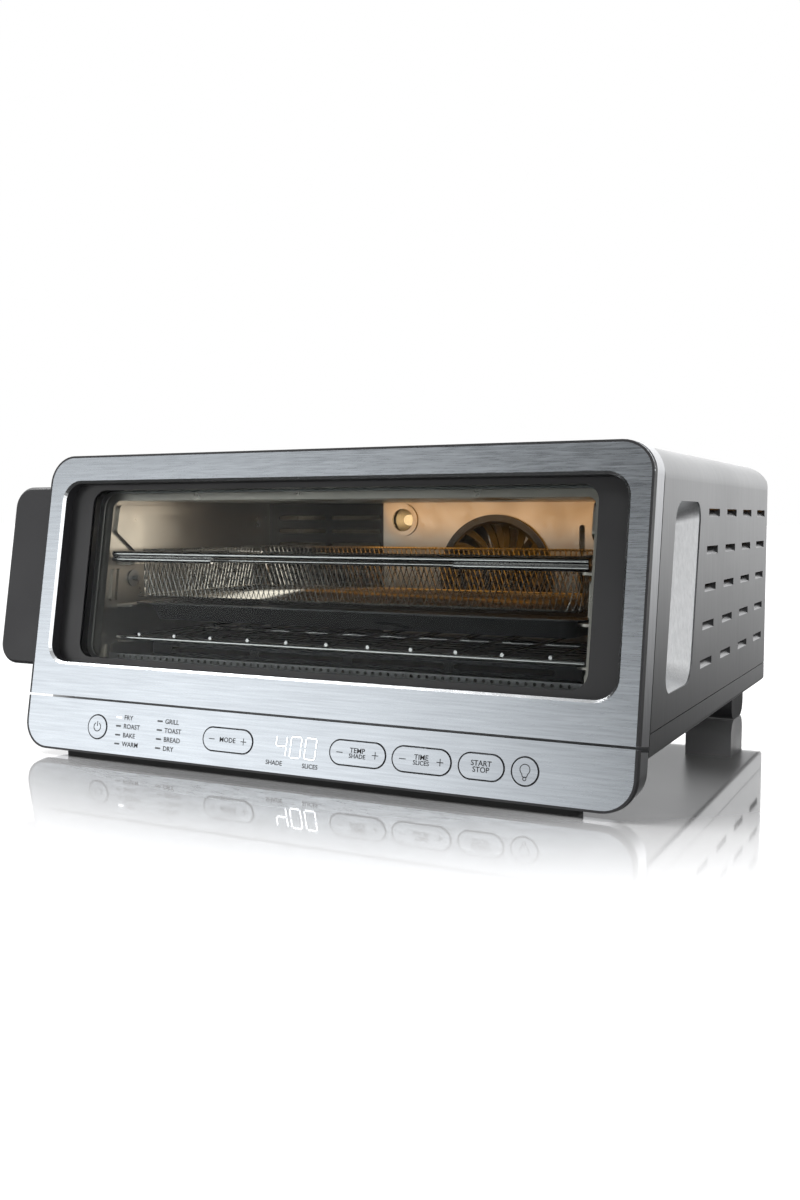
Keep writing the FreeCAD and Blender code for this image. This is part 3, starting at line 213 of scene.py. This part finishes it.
# The finish of each material slot in the record.
FINISH = {
    "front_steel": brushed_steel(
        "front_steel", (0.50, 0.535, 0.575), (0.62, 0.665, 0.71), along="x", roughness=0.29, grain=0.05),
    "edge_steel": brushed_steel(
        "edge_steel", (0.55, 0.56, 0.58), (0.68, 0.69, 0.71), along="xz", roughness=0.33, grain=0.04),
    # Same steel as the front, made darker: painted shade of the side panels.
    "shell_steel": brushed_steel(
        "shell_steel", (0.27, 0.274, 0.281), (0.335, 0.339, 0.346), along="xz", roughness=0.33, grain=0.05),
    # Same steel as the front, made much lighter: painted light caught in the grip pockets.
    "pocket_steel": brushed_steel(
        "pocket_steel", (0.80, 0.81, 0.82), (0.93, 0.94, 0.95), along="z", roughness=0.5, grain=0.08),
    "cavity_steel": plain_metal("cavity_steel", (0.62, 0.58, 0.52), 0.33),
    "zinc_sheet": plain_metal("zinc_sheet", (0.55, 0.57, 0.58), 0.42),
    "chromed_wire": plain_metal("chromed_wire", (0.72, 0.71, 0.70), 0.12, wear=0.04),
    "mesh_steel": plain_metal("mesh_steel", (0.72, 0.70, 0.66), 0.25),
    "screw_steel": plain_metal("screw_steel", (0.5, 0.5, 0.5), 0.3),
    "tray_aluminium": plain_metal("tray_aluminium", (0.65, 0.65, 0.65), 0.4),
    "motor_metal": plain_metal("motor_metal", (0.38, 0.39, 0.4), 0.45),
    "black_plastic": moulded_plastic("black_plastic", (0.018, 0.018, 0.02), 0.42),
    "rubber_black": moulded_plastic("rubber_black", (0.012, 0.012, 0.012), 0.7, texture=0.3),
    "display_black": moulded_plastic("display_black", (0.02, 0.02, 0.022), 0.2, texture=0.0),
    "ceramic_white": moulded_plastic("ceramic_white", (0.75, 0.72, 0.66), 0.6, texture=0.2),
    "board_green": moulded_plastic("board_green", (0.02, 0.12, 0.06), 0.4),
    "heater_sheath": moulded_plastic("heater_sheath", (0.10, 0.09, 0.085), 0.5, texture=0.2),
    "light_white": moulded_plastic("light_bar_off", (0.07, 0.075, 0.08), 0.35, texture=0.0),
    "dark_enamel": enamel("dark_enamel", (0.022, 0.022, 0.024), 0.3),
    "clear_glass": pane_glass("clear_glass", (0.95, 0.96, 0.96), 0.2),
}
# Polished steel made lighter than the front steel: painted highlight on the window bevel.
POLISHED_WITH_HIGHLIGHT = plain_metal("polished_edge_highlight", (0.86, 0.88, 0.90), 0.24, wear=0.02)
FRIT = moulded_plastic("glass_frit", (0.020, 0.020, 0.021), 0.35, texture=0.03)
PRINT_INK = moulded_plastic("print_ink", (0.012, 0.012, 0.014), 0.5, texture=0.0)
LAMP_GLASS = lit("lamp_glow", (1.0, 0.72, 0.38), 1.2)
DIGIT_WHITE = lit("digit_white", (0.93, 0.96, 1.0), 0.9)


def dress(node, material):
    """Gives a CAD node's object a material."""
    for place in frame["nodes"][node].material_slots:
        place.material = material


for part in frame["record"]["subparts"]:
    dress(part["node"], FINISH[part["material_slot"]])
dress("lamp_bulb", LAMP_GLASS)


# ---------------- building pieces ----------------

PRINT = 0.00006
BOLD = 0.00007
CORNER_STEPS = 10


def add_mesh(name, vertices, faces, material, body):
    """New mesh piece that rides on a body."""
    mesh = bpy.data.meshes.new(name)
    mesh.from_pydata([tuple(v) for v in vertices], [], faces)
    mesh.materials.append(material)
    mesh.update()
    piece = bpy.data.objects.new(name, mesh)
    bpy.context.collection.objects.link(piece)
    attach(piece, body)
    return piece


class Sheet:
    """Flat shapes of print gathered into one thin mesh, with its back at a depth behind the face."""

    def __init__(self, depth=0.0):
        self.front, self.back = depth - PRINT, depth
        self.vertices, self.faces = [], []

    def polygon(self, points):
        """Adds a plate with the given outline of (x, up) points, anticlockwise from the front."""
        first, count = len(self.vertices), len(points)
        self.vertices += [on_face(x, self.front, up) for x, up in points]
        self.vertices += [on_face(x, self.back, up) for x, up in points]
        self.faces.append([first + i for i in range(count)])
        for i in range(count):
            after = (i + 1) % count
            self.faces.append([first + i, first + count + i, first + count + after, first + after])

    def bar(self, x0, up0, x1, up1, width):
        """Adds a straight stroke between two points."""
        dx, dy = x1 - x0, up1 - up0
        size = math.hypot(dx, dy)
        ox, oy = -dy / size * width / 2, dx / size * width / 2
        self.polygon([(x0 + ox, up0 + oy), (x0 - ox, up0 - oy), (x1 - ox, up1 - oy), (x1 + ox, up1 + oy)])

    def arc(self, x, up, radius, width, start, end, steps=28):
        """Adds a curved stroke, with angles in degrees anticlockwise from the right."""
        inner, outer = radius - width / 2, radius + width / 2
        angles = [math.radians(start + (end - start) * i / steps) for i in range(steps + 1)]
        for a, b in zip(angles, angles[1:]):
            corners = [(inner, a), (outer, a), (outer, b), (inner, b)]
            self.polygon([(x + r * math.cos(t), up + r * math.sin(t)) for r, t in corners])

    def text(self, words, x, up, size, align="CENTER"):
        """Adds words in Blender's own font."""
        curve = bpy.data.curves.new("words", "FONT")
        curve.body, curve.size, curve.align_x, curve.align_y = words, size, align, "CENTER"
        curve.resolution_u = 3
        curve.offset = BOLD
        holder = bpy.data.objects.new("words", curve)
        bpy.context.collection.objects.link(holder)
        bpy.context.view_layer.update()
        shown = holder.evaluated_get(bpy.context.evaluated_depsgraph_get())
        flat = bpy.data.meshes.new_from_object(shown)
        first = len(self.vertices)
        self.vertices += [on_face(x + v.co.x, self.front, up + v.co.y) for v in flat.vertices]
        self.faces += [[first + i for i in face.vertices] for face in flat.polygons]
        bpy.data.objects.remove(holder)
        bpy.data.meshes.remove(flat)
        bpy.data.curves.remove(curve)

    def make(self, name, material, body, slot):
        """Turns the gathered shapes into a piece."""
        add_mesh(name, self.vertices, self.faces, material, body)


def rounded_loop(half, low, high, radius):
    """Points round a rounded rectangle, anticlockwise, corner by corner from the lower right one."""
    points = []
    corners = [
        (half - radius, low + radius, -90), (half - radius, high - radius, 0),
        (-half + radius, high - radius, 90), (-half + radius, low + radius, 180)]
    for x, up, start in corners:
        for i in range(CORNER_STEPS + 1):
            angle = math.radians(start + 90 * i / CORNER_STEPS)
            points.append((x + radius * math.cos(angle), up + radius * math.sin(angle)))
    return points


# ---------------- printed marks on the strip ----------------

INK_WIDTH = 0.00045
LABEL, SMALL_LABEL = 0.0050, 0.0042
OUTLINE, OUTLINE_GAP = 0.00055, 0.00082

BUTTON_UP = 0.021
BUTTON_FACE = -0.0004
# Middle across the strip, half width and half height of each button, by its body.
BUTTONS = {
    "power_button": (-0.1765, 0.0087, 0.0087),
    "light_button": (0.1775, 0.0087, 0.0087),
    "mode_rocker": (-0.0536, 0.0214, 0.0081),
    "temp_rocker": (0.0547, 0.0214, 0.0081),
    "time_rocker": (0.1036, 0.0214, 0.0081),
    "start_button": (0.147, 0.0156, 0.0081),
}
SIGN_PLACE, SIGN_HALF = 0.014, 0.0025
ROCKER_LINE, START_LINE = 0.0019, 0.0021

# Left end of each column of programme names, and its names from the top row down.
PROGRAMMES = ((-0.151, ("FRY", "ROAST", "BAKE", "WARM")), (-0.1118, ("GRILL", "TOAST", "BREAD", "DRY")))
PROGRAMME_ROWS = (0.030, 0.0233, 0.0165, 0.0097)
UNITS, UNITS_UP, UNITS_SIZE = ((-0.0125, "SHADE"), (0.0175, "SLICES")), 0.0085, 0.0045


def programme_labels():
    """Programme names beside the light bars, and the words under the digits."""
    sheet = Sheet()
    for x, names in PROGRAMMES:
        for up, word in zip(PROGRAMME_ROWS, names):
            sheet.text(word, x, up, LABEL, "LEFT")
    for x, word in UNITS:
        sheet.text(word, x, UNITS_UP, UNITS_SIZE)
    sheet.make("strip_labels", PRINT_INK, "oven_body", "display_black")


def button_outlines():
    """Thin black line round each button: two round ends and two straight runs."""
    sheet = Sheet()
    for x, half_width, half_height in BUTTONS.values():
        radius, run = half_height + OUTLINE_GAP, half_width - half_height
        sheet.arc(x + run, BUTTON_UP, radius, OUTLINE, -90, 90)
        sheet.arc(x - run, BUTTON_UP, radius, OUTLINE, 90, 270)
        if run > 0:
            for up in (BUTTON_UP + radius, BUTTON_UP - radius):
                sheet.bar(x - run, up, x + run, up, OUTLINE)
    sheet.make("button_outlines", PRINT_INK, "oven_body", "display_black")


def power_mark():
    """Generic power sign on the power button: an open ring and a stroke."""
    sheet = Sheet(BUTTON_FACE)
    x, stroke = BUTTONS["power_button"][0], INK_WIDTH * 1.5
    ring, stroke_foot, stroke_top = 0.0033, BUTTON_UP + 0.0006, BUTTON_UP + 0.0044
    sheet.arc(x, BUTTON_UP, ring, stroke, 120, 420)
    sheet.bar(x, stroke_foot, x, stroke_top, stroke)
    sheet.make("power_mark", PRINT_INK, "power_button", "display_black")


def bulb_mark():
    """Generic bulb sign on the light button: a round bulb, a tapered neck and a contact below."""
    sheet = Sheet(BUTTON_FACE)
    x, up, stroke = BUTTONS["light_button"][0], BUTTON_UP + 0.0012, INK_WIDTH * 1.2
    bulb, contact, contact_up = 0.0034, 0.0011, up - 0.0060
    neck_wide, neck_narrow, neck_top, neck_foot = 0.0022, 0.0014, up - 0.0026, up - 0.0048
    sheet.arc(x, up, bulb, stroke, -50, 230)
    sheet.bar(x - neck_wide, neck_top, x - neck_narrow, neck_foot, stroke)
    sheet.bar(x + neck_wide, neck_top, x + neck_narrow, neck_foot, stroke)
    sheet.bar(x - neck_narrow, neck_foot, x + neck_narrow, neck_foot, stroke)
    sheet.arc(x, contact_up, contact, stroke, 0, 360, steps=16)
    sheet.make("bulb_mark", PRINT_INK, "light_button", "display_black")


def rocker_marks(body, word, under=None):
    """Minus and plus signs, with one word or two lines between them."""
    sheet = Sheet(BUTTON_FACE)
    x, stroke = BUTTONS[body][0], INK_WIDTH * 1.3
    for middle in (x - SIGN_PLACE, x + SIGN_PLACE):
        sheet.bar(middle - SIGN_HALF, BUTTON_UP, middle + SIGN_HALF, BUTTON_UP, stroke)
    sheet.bar(x + SIGN_PLACE, BUTTON_UP - SIGN_HALF, x + SIGN_PLACE, BUTTON_UP + SIGN_HALF, stroke)
    if under is None:
        sheet.text(word, x, BUTTON_UP, LABEL)
    else:
        sheet.text(word, x, BUTTON_UP + ROCKER_LINE, LABEL)
        sheet.text(under, x, BUTTON_UP - ROCKER_LINE, SMALL_LABEL)
    sheet.make(body + "_marks", PRINT_INK, body, "display_black")


def start_marks():
    """Words on the start button."""
    sheet = Sheet(BUTTON_FACE)
    x = BUTTONS["start_button"][0]
    sheet.text("START", x, BUTTON_UP + START_LINE, LABEL)
    sheet.text("STOP", x, BUTTON_UP - START_LINE, LABEL)
    sheet.make("start_marks", PRINT_INK, "start_button", "display_black")


# Segments of each figure: a to f clockwise from the top, g in the middle.
SEGMENTS = {"0": "abcdef", "4": "bcfg"}
DIGIT_WIDTH, DIGIT_HEIGHT, DIGIT_GAP = 0.0086, 0.0148, 0.0007
DIGIT_STROKE, DIGIT_EDGE, DIGIT_SLANT = 0.0011, 0.0005, 0.06
DIGITS_LEFT, DIGITS_LOW, DIGIT_PITCH = -0.0122, 0.0135, 0.0122
LIT_BAR_LEFT, LIT_BAR_RIGHT, LIT_BAR_UP, LIT_BAR_HEIGHT = -0.1586, -0.1534, 0.030, 0.0013


def digit_strokes(x, up, figure):
    """Ends of the strokes of one seven-segment figure, with its lower left corner at (x, up)."""
    w, h, gap = DIGIT_WIDTH, DIGIT_HEIGHT, DIGIT_GAP
    ends = {
        "a": ((gap, h), (w - gap, h)), "b": ((w, h / 2 + gap), (w, h - gap)),
        "c": ((w, gap), (w, h / 2 - gap)), "d": ((gap, 0), (w - gap, 0)),
        "e": ((0, gap), (0, h / 2 - gap)), "f": ((0, h / 2 + gap), (0, h - gap)),
        "g": ((gap, h / 2), (w - gap, h / 2))}
    strokes = []
    for letter in SEGMENTS[figure]:
        (x0, y0), (x1, y1) = ends[letter]
        strokes.append((x + x0 + y0 * DIGIT_SLANT, up + y0, x + x1 + y1 * DIGIT_SLANT, up + y1))
    return strokes


def display_digits():
    """Lit figures on the display, with a thin dark edge behind each stroke."""
    edge, light = Sheet(), Sheet(-PRINT)
    for place, figure in enumerate("400"):
        for stroke in digit_strokes(DIGITS_LEFT + DIGIT_PITCH * place, DIGITS_LOW, figure):
            edge.bar(*stroke, DIGIT_STROKE + DIGIT_EDGE)
            light.bar(*stroke, DIGIT_STROKE)
    edge.make("digit_edges", FINISH["light_white"], "oven_body", "display_black")
    light.make("digits", DIGIT_WHITE, "oven_body", "light_white")


def lit_bar():
    """The chosen programme's light bar, lit."""
    sheet = Sheet()
    sheet.bar(LIT_BAR_LEFT, LIT_BAR_UP, LIT_BAR_RIGHT, LIT_BAR_UP, LIT_BAR_HEIGHT)
    sheet.make("programme_light", DIGIT_WHITE, "oven_body", "light_white")


programme_labels()
button_outlines()
power_mark()
bulb_mark()
rocker_marks("mode_rocker", "MODE")
rocker_marks("temp_rocker", "TEMP", "SHADE")
rocker_marks("time_rocker", "TIME", "SLICES")
start_marks()
display_digits()
lit_bar()


# ---------------- edges of the door's glass, window and steel sheet ----------------

# Rounded rectangles on the front: half width, bottom, top and corner radius.
VIEW = (0.212, 0.075, 0.210, 0.012)
BORDER = (0.2405, 0.0615, 0.2225, 0.010)
WINDOW_HALF, WINDOW_LOW, WINDOW_HIGH, WINDOW_R = 0.2338, 0.0697, 0.2142, 0.015
FRONT_HALF, FRONT_TOP, FRONT_R = 0.25, 0.2364, 0.022

PANE_FRONT, BORDER_INK = 0.00995, 0.00012
BEVEL_WIDTH, BEVEL_DEPTH = 0.0019, 0.00186
EDGE_BACK, EDGE_OUT, EDGE_WIDTH = 0.0069, 0.00004, 0.0016
DOOR_LOW, STRIP_HIGH = 0.0430, 0.0411
LOWER_RIGHT, UPPER_RIGHT, UPPER_LEFT, LOWER_LEFT = range(4)


def glass_border():
    """Black border on the outer pane: a thin flat ring."""
    outer, inner = rounded_loop(*BORDER), rounded_loop(*VIEW)
    vertices, faces, count = [], [], len(outer)
    for depth in (PANE_FRONT, PANE_FRONT + BORDER_INK):
        vertices += [on_face(x, depth, up) for x, up in outer + inner]
    out_front, in_front, out_back, in_back = 0, count, 2 * count, 3 * count
    sides = ((out_front, in_front), (in_back, out_back), (in_front, in_back), (out_back, out_front))
    for i in range(count):
        j = (i + 1) % count
        for here, there in sides:
            faces.append([here + i, here + j, there + j, there + i])
    add_mesh("glass_border", vertices, faces, FRIT, "door")


def window_bevel():
    """Polished bevel round the window, in a lighter steel than the front: painted highlight along the
    bevel.
    """
    vertices, faces = [], []
    for grow, depth in ((BEVEL_WIDTH, -EDGE_OUT), (0.0, BEVEL_DEPTH)):
        loop = rounded_loop(WINDOW_HALF + grow, WINDOW_LOW - grow, WINDOW_HIGH + grow, WINDOW_R + grow)
        vertices += [on_face(x, depth, up) for x, up in loop]
    count = len(loop)
    for i in range(count):
        j = (i + 1) % count
        faces.append([i, j, j + count, i + count])
    add_mesh("window_bevel", vertices, faces, POLISHED_WITH_HIGHLIGHT, "door")


def edge_path(inset, corners, level):
    """The front's outline moved inwards: two neighbouring corners, and ends at a level up the face."""
    loop = rounded_loop(FRONT_HALF - inset, inset, FRONT_TOP - inset, FRONT_R - inset)
    size = CORNER_STEPS + 1
    path = [point for corner in corners for point in loop[corner * size:(corner + 1) * size]]
    side = math.copysign(FRONT_HALF - inset, path[0][0])
    return [(side, level)] + path + [(-side, level)]


def black_edge_and_shade_band(name, corners, level, body):
    """Black strip round the cut edge of the steel sheet: its side, and a narrow border on its face. Partly
    the black flange seen past the sheet, partly painted shade along the edge.
    """
    vertices, faces = [], []
    for inset, depth in ((-EDGE_OUT, EDGE_BACK), (-EDGE_OUT, -PRINT), (EDGE_WIDTH, -PRINT)):
        path = edge_path(inset, corners, level)
        vertices += [on_face(x, depth, up) for x, up in path]
    count = len(path)
    for row in (0, count):
        for i in range(row, row + count - 1):
            faces.append([i, i + 1, i + 1 + count, i + count])
    add_mesh(name, vertices, faces, FINISH["black_plastic"], body)


glass_border()
window_bevel()
# Black bands at the sheet's edges: partly black flange, partly painted shade.
black_edge_and_shade_band("door_edge_and_shade", (UPPER_RIGHT, UPPER_LEFT), DOOR_LOW, "door")
black_edge_and_shade_band("strip_edge_and_shade", (LOWER_LEFT, LOWER_RIGHT), STRIP_HIGH, "oven_body")


# ---------------- basket of fine wire ----------------

MESH_LOW, MESH_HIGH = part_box("basket_mesh")
MESH_RADIUS = 0.014
MESH_PITCH = 0.0047
MESH_LEAN = 0.34
MESH_WIRE = 0.00038
WALL_STEPS, ROUND_STEPS, TURN_STEPS = 5, 240, 6
RIM_BELOW, RIM_WIRE = 0.0012, 0.0009
FOOT_ABOVE, FOOT_WIRE = 0.0008, 0.0008
WINDING_PITCH, WINDING_WIRE = 0.0031, 0.00035
WINDING_BELOW, WINDING_UP, WINDING_OUT = 0.0014, 0.0013, 0.00117
LOOK_AHEAD = 0.0005


def mesh_path(distance):
    """Point on the basket's rounded outline, at a distance round it from the front left corner."""
    low, high, r = MESH_LOW, MESH_HIGH, MESH_RADIUS
    width, depth, bend = high[0] - low[0] - 2 * r, high[1] - low[1] - 2 * r, r * math.pi / 2
    runs = [
        (width, (low[0] + r, low[1]), (1, 0), (high[0] - r, low[1] + r)),
        (depth, (high[0], low[1] + r), (0, 1), (high[0] - r, high[1] - r)),
        (width, (high[0] - r, high[1]), (-1, 0), (low[0] + r, high[1] - r)),
        (depth, (low[0], high[1] - r), (0, -1), (low[0] + r, low[1] + r))]
    distance %= 2 * (width + depth) + 4 * bend
    for length, start, way, centre in runs:
        if distance <= length:
            return (start[0] + way[0] * distance, start[1] + way[1] * distance)
        distance -= length
        if distance <= bend:
            angle = distance / r
            side = (way[1], -way[0])
            return (
                centre[0] + r * (side[0] * math.cos(angle) + way[0] * math.sin(angle)),
                centre[1] + r * (side[1] * math.cos(angle) + way[1] * math.sin(angle)))
        distance -= bend
    return runs[0][1]


def mesh_length():
    """Distance once round the basket."""
    low, high, r = MESH_LOW, MESH_HIGH, MESH_RADIUS
    return 2 * (high[0] - low[0] + high[1] - low[1] - 4 * r) + 2 * math.pi * r


def add_wire(vertices, faces, points, radius):
    """Adds a four-sided wire through the points."""
    first = len(vertices)
    for index, point in enumerate(points):
        before, after = points[max(index - 1, 0)], points[min(index + 1, len(points) - 1)]
        along = (after - before).normalized()
        side = along.cross(Vector((0, 0, 1)))
        side = side.normalized() if side.length > 0.01 else Vector((1, 0, 0))
        other = along.cross(side).normalized()
        vertices += [point + way * radius for way in (side, other, -side, -other)]
    for index in range(len(points) - 1):
        base = first + 4 * index
        for k in range(4):
            m = (k + 1) % 4
            faces.append([base + k, base + m, base + 4 + m, base + 4 + k])


def basket_walls(vertices, faces):
    """Crossing wires all round the basket."""
    low, high = MESH_LOW[2] + MESH_WIRE, MESH_HIGH[2] - MESH_WIRE
    height = high - low
    count = round(mesh_length() / MESH_PITCH)
    for index in range(count):
        start = mesh_length() * index / count
        for way in (-1, 1):
            points = []
            for step in range(WALL_STEPS + 1):
                t = step / WALL_STEPS
                x, y = mesh_path(start + way * MESH_LEAN * height * t)
                points.append(Vector((x, y, low + height * t)))
            add_wire(vertices, faces, points, MESH_WIRE)


def basket_floor(vertices, faces):
    """Crossing wires across the bottom."""
    z = MESH_LOW[2] + MESH_WIRE
    x_low, x_high = MESH_LOW[0], MESH_HIGH[0]
    y_low, y_high = MESH_LOW[1], MESH_HIGH[1]
    depth = y_high - y_low
    shift = depth * MESH_LEAN
    count = round((x_high - x_low + shift) / MESH_PITCH)
    for index in range(1, count):
        start = x_low - shift + (x_high - x_low + shift) * index / count
        t_in = max(0.0, (x_low - start) / shift)
        t_out = min(1.0, (x_high - start) / shift)
        ends = [(start + shift * t, y_low + depth * t) for t in (t_in, t_out)]
        add_wire(vertices, faces, [Vector((x, y, z)) for x, y in ends], MESH_WIRE)
        add_wire(vertices, faces, [Vector((x_low + x_high - x, y, z)) for x, y in ends], MESH_WIRE)


def ring_wire(vertices, faces, z, radius):
    """Plain wire once round the basket at one height."""
    points = []
    for step in range(ROUND_STEPS + 1):
        x, y = mesh_path(mesh_length() * step / ROUND_STEPS)
        points.append(Vector((x, y, z)))
    add_wire(vertices, faces, points, radius)


def rim_winding(vertices, faces):
    """Fine wire wound round the rim wire."""
    steps = round(mesh_length() / WINDING_PITCH) * TURN_STEPS
    middle = MESH_HIGH[2] - WINDING_BELOW
    points = []
    for step in range(steps + 1):
        distance, angle = mesh_length() * step / steps, 2 * math.pi * step / TURN_STEPS
        here = Vector(mesh_path(distance))
        ahead = Vector(mesh_path(distance + LOOK_AHEAD)) - here
        out = Vector((ahead.y, -ahead.x)).normalized() * WINDING_OUT * math.cos(angle)
        points.append(Vector((here.x + out.x, here.y + out.y, middle + WINDING_UP * math.sin(angle))))
    add_wire(vertices, faces, points, WINDING_WIRE)


def wire_basket():
    """The basket's wire tray, in place of the thin-walled box."""
    vertices, faces = [], []
    basket_walls(vertices, faces)
    basket_floor(vertices, faces)
    ring_wire(vertices, faces, MESH_HIGH[2] - RIM_BELOW, RIM_WIRE)
    ring_wire(vertices, faces, MESH_LOW[2] + FOOT_ABOVE, FOOT_WIRE)
    rim_winding(vertices, faces)
    piece = add_mesh("wire_basket", vertices, faces, FINISH["mesh_steel"], "basket")
    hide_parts("basket_mesh")


wire_basket()


# ---------------- lights, floor and camera ----------------

# Direction and strength of each soft light, and the cosines at which it starts and is full.
SOFT_LIGHTS = (
    ((-0.62, -0.785, 0.0), 1.7, 0.86, 1.0),
    ((-0.70, 0.71, 0.0), 0.98, 0.55, 0.90),
    ((0.14, 0.93, 0.36), 1.2, 0.80, 0.98),
    ((0.86, -0.45, 0.25), 1.7, 0.70, 1.0),
    ((-0.93, 0.33, 0.05), 1.6, 0.86, 1.0),
)
SKY_DIM, SKY_BRIGHT, SKY_START, SKY_FULL = 0.05, 0.55, 0.35, 1.0
SKY_SQUEEZE = (1, 1, 1.3)

SUN_POWER, SUN_ANGLE, SUN_WAY = 3.4, math.radians(35), (0.55, 0.22, -0.80)

FLOOR_HALF = 30.0
GLOSS_CENTRE, GLOSS_SQUASH = (0, 0.2, 0), (0.75, 1, 0)
GLOSS_SHARE, GLOSS_NEAR, GLOSS_FAR = 0.85, 0.22, 0.46

CAMERA_PLACE = (0.43796, -0.70111, 0.18759)
CAMERA_DOWN, CAMERA_TURN, CAMERA_LENS, CAMERA_SENSOR = 4.028, 26.897, 34.78, 36.0


def toward(way):
    """Turn that points a light along a direction."""
    return Vector(way).to_track_quat("-Z", "Y").to_euler()


def area_light(name, place, target, width, height, power, colour):
    """Soft rectangular light that faces a point."""
    data = bpy.data.lights.new(name, "AREA")
    data.energy, data.color = power, colour
    data.shape, data.size, data.size_y = "RECTANGLE", width, height
    light = bpy.data.objects.new(name, data)
    bpy.context.collection.objects.link(light)
    light.location = place
    light.rotation_euler = toward(Vector(target) - Vector(place))


def cavity_lights():
    """Warm light of the lamp at the rear right, and a weak neutral light on the left wall."""
    area_light(
        "lamp_light", (0.06, 0.22, 0.199), (0.07, 0.28, 0.13),
        width=0.29, height=0.08, power=0.075, colour=(1.0, 0.42, 0.03))
    area_light(
        "front_glow", (-0.09, 0.13, 0.172), (-0.20, 0.10, 0.13),
        width=0.16, height=0.05, power=0.05, colour=(1.0, 0.93, 0.82))


def scaled(tree, source, scales):
    """Vector scaled along its axes."""
    node = tree.nodes.new("ShaderNodeVectorMath")
    node.operation = "MULTIPLY"
    node.inputs[1].default_value = scales
    tree.links.new(source, node.inputs[0])
    return node.outputs[0]


def surroundings():
    """Studio round the oven: white to the camera, and for everything else dim with a few soft lights."""
    world = bpy.data.worlds.new("studio")
    bpy.context.scene.world = world
    world.use_nodes = True
    tree = world.node_tree
    place = tree.nodes.new("ShaderNodeTexCoord")
    split = tree.nodes.new("ShaderNodeSeparateXYZ")
    tree.links.new(place.outputs["Generated"], split.inputs["Vector"])
    unit = tree.nodes.new("ShaderNodeVectorMath")
    unit.operation = "NORMALIZE"
    tree.links.new(scaled(tree, place.outputs["Generated"], SKY_SQUEEZE), unit.inputs[0])
    level = map_range(tree, split.outputs["Z"], SKY_DIM, SKY_BRIGHT, SKY_START, SKY_FULL, smooth=True)
    for way, strength, edge, middle in SOFT_LIGHTS:
        facing = tree.nodes.new("ShaderNodeVectorMath")
        facing.operation = "DOT_PRODUCT"
        facing.inputs[1].default_value = Vector(way).normalized()
        tree.links.new(unit.outputs[0], facing.inputs[0])
        soft = map_range(tree, facing.outputs["Value"], 0.0, strength, edge, middle, smooth=True)
        level = add_values(tree, level, soft)
    path = tree.nodes.new("ShaderNodeLightPath")
    mix = tree.nodes.new("ShaderNodeMix")
    mix.data_type = "FLOAT"
    mix.inputs["B"].default_value = 1.0
    tree.links.new(path.outputs["Is Camera Ray"], mix.inputs["Factor"])
    tree.links.new(level, mix.inputs["A"])
    tree.links.new(mix.outputs["Result"], tree.nodes["Background"].inputs["Strength"])
    tree.nodes["Background"].inputs["Color"].default_value = (1, 1, 1, 1)


def sun():
    """Wide soft light from the upper left, for the shadow on the floor."""
    data = bpy.data.lights.new("sun", "SUN")
    data.energy, data.angle = SUN_POWER, SUN_ANGLE
    light = bpy.data.objects.new("sun", data)
    bpy.context.collection.objects.link(light)
    light.rotation_euler = toward(SUN_WAY)


def floor_material():
    """Pale material whose gloss fades away from the oven."""
    material = bpy.data.materials.new("floor")
    material.use_nodes = True
    tree = material.node_tree
    tree.nodes.remove(tree.nodes["Principled BSDF"])
    matt = tree.nodes.new("ShaderNodeBsdfDiffuse")
    matt.inputs["Color"].default_value = (0.9, 0.9, 0.905, 1)
    gloss = tree.nodes.new("ShaderNodeBsdfGlossy")
    gloss.inputs["Color"].default_value = (0.97, 0.97, 0.97, 1)
    gloss.inputs["Roughness"].default_value = 0.05
    place = tree.nodes.new("ShaderNodeTexCoord")
    shift = tree.nodes.new("ShaderNodeVectorMath")
    shift.operation = "SUBTRACT"
    shift.inputs[1].default_value = GLOSS_CENTRE
    tree.links.new(place.outputs["Object"], shift.inputs[0])
    away = tree.nodes.new("ShaderNodeVectorMath")
    away.operation = "LENGTH"
    tree.links.new(scaled(tree, shift.outputs[0], GLOSS_SQUASH), away.inputs[0])
    share = map_range(tree, away.outputs["Value"], GLOSS_SHARE, 0.0, GLOSS_NEAR, GLOSS_FAR, smooth=True)
    mix = tree.nodes.new("ShaderNodeMixShader")
    tree.links.new(share, mix.inputs["Fac"])
    tree.links.new(matt.outputs["BSDF"], mix.inputs[1])
    tree.links.new(gloss.outputs["BSDF"], mix.inputs[2])
    tree.links.new(mix.outputs["Shader"], tree.nodes["Material Output"].inputs["Surface"])
    return material


def floor():
    """Floor under the oven, left out of the reflections in its metal."""
    mesh = bpy.data.meshes.new("floor")
    corners = [(x * FLOOR_HALF, y * FLOOR_HALF, 0) for x, y in ((-1, -1), (1, -1), (1, 1), (-1, 1))]
    mesh.from_pydata(corners, [], [(0, 1, 2, 3)])
    mesh.materials.append(floor_material())
    plane = bpy.data.objects.new("floor", mesh)
    bpy.context.collection.objects.link(plane)
    plane.visible_glossy = False


def camera():
    """Camera at the photograph's viewing angle."""
    data = bpy.data.cameras.new("camera")
    data.sensor_width, data.lens = CAMERA_SENSOR, CAMERA_LENS
    view = bpy.data.objects.new("camera", data)
    bpy.context.collection.objects.link(view)
    view.location = CAMERA_PLACE
    view.rotation_euler = (math.radians(90 - CAMERA_DOWN), 0, math.radians(CAMERA_TURN))
    bpy.context.scene.camera = view


cavity_lights()
surroundings()
sun()
floor()
camera()
bpy.context.scene.view_settings.view_transform = "Standard"
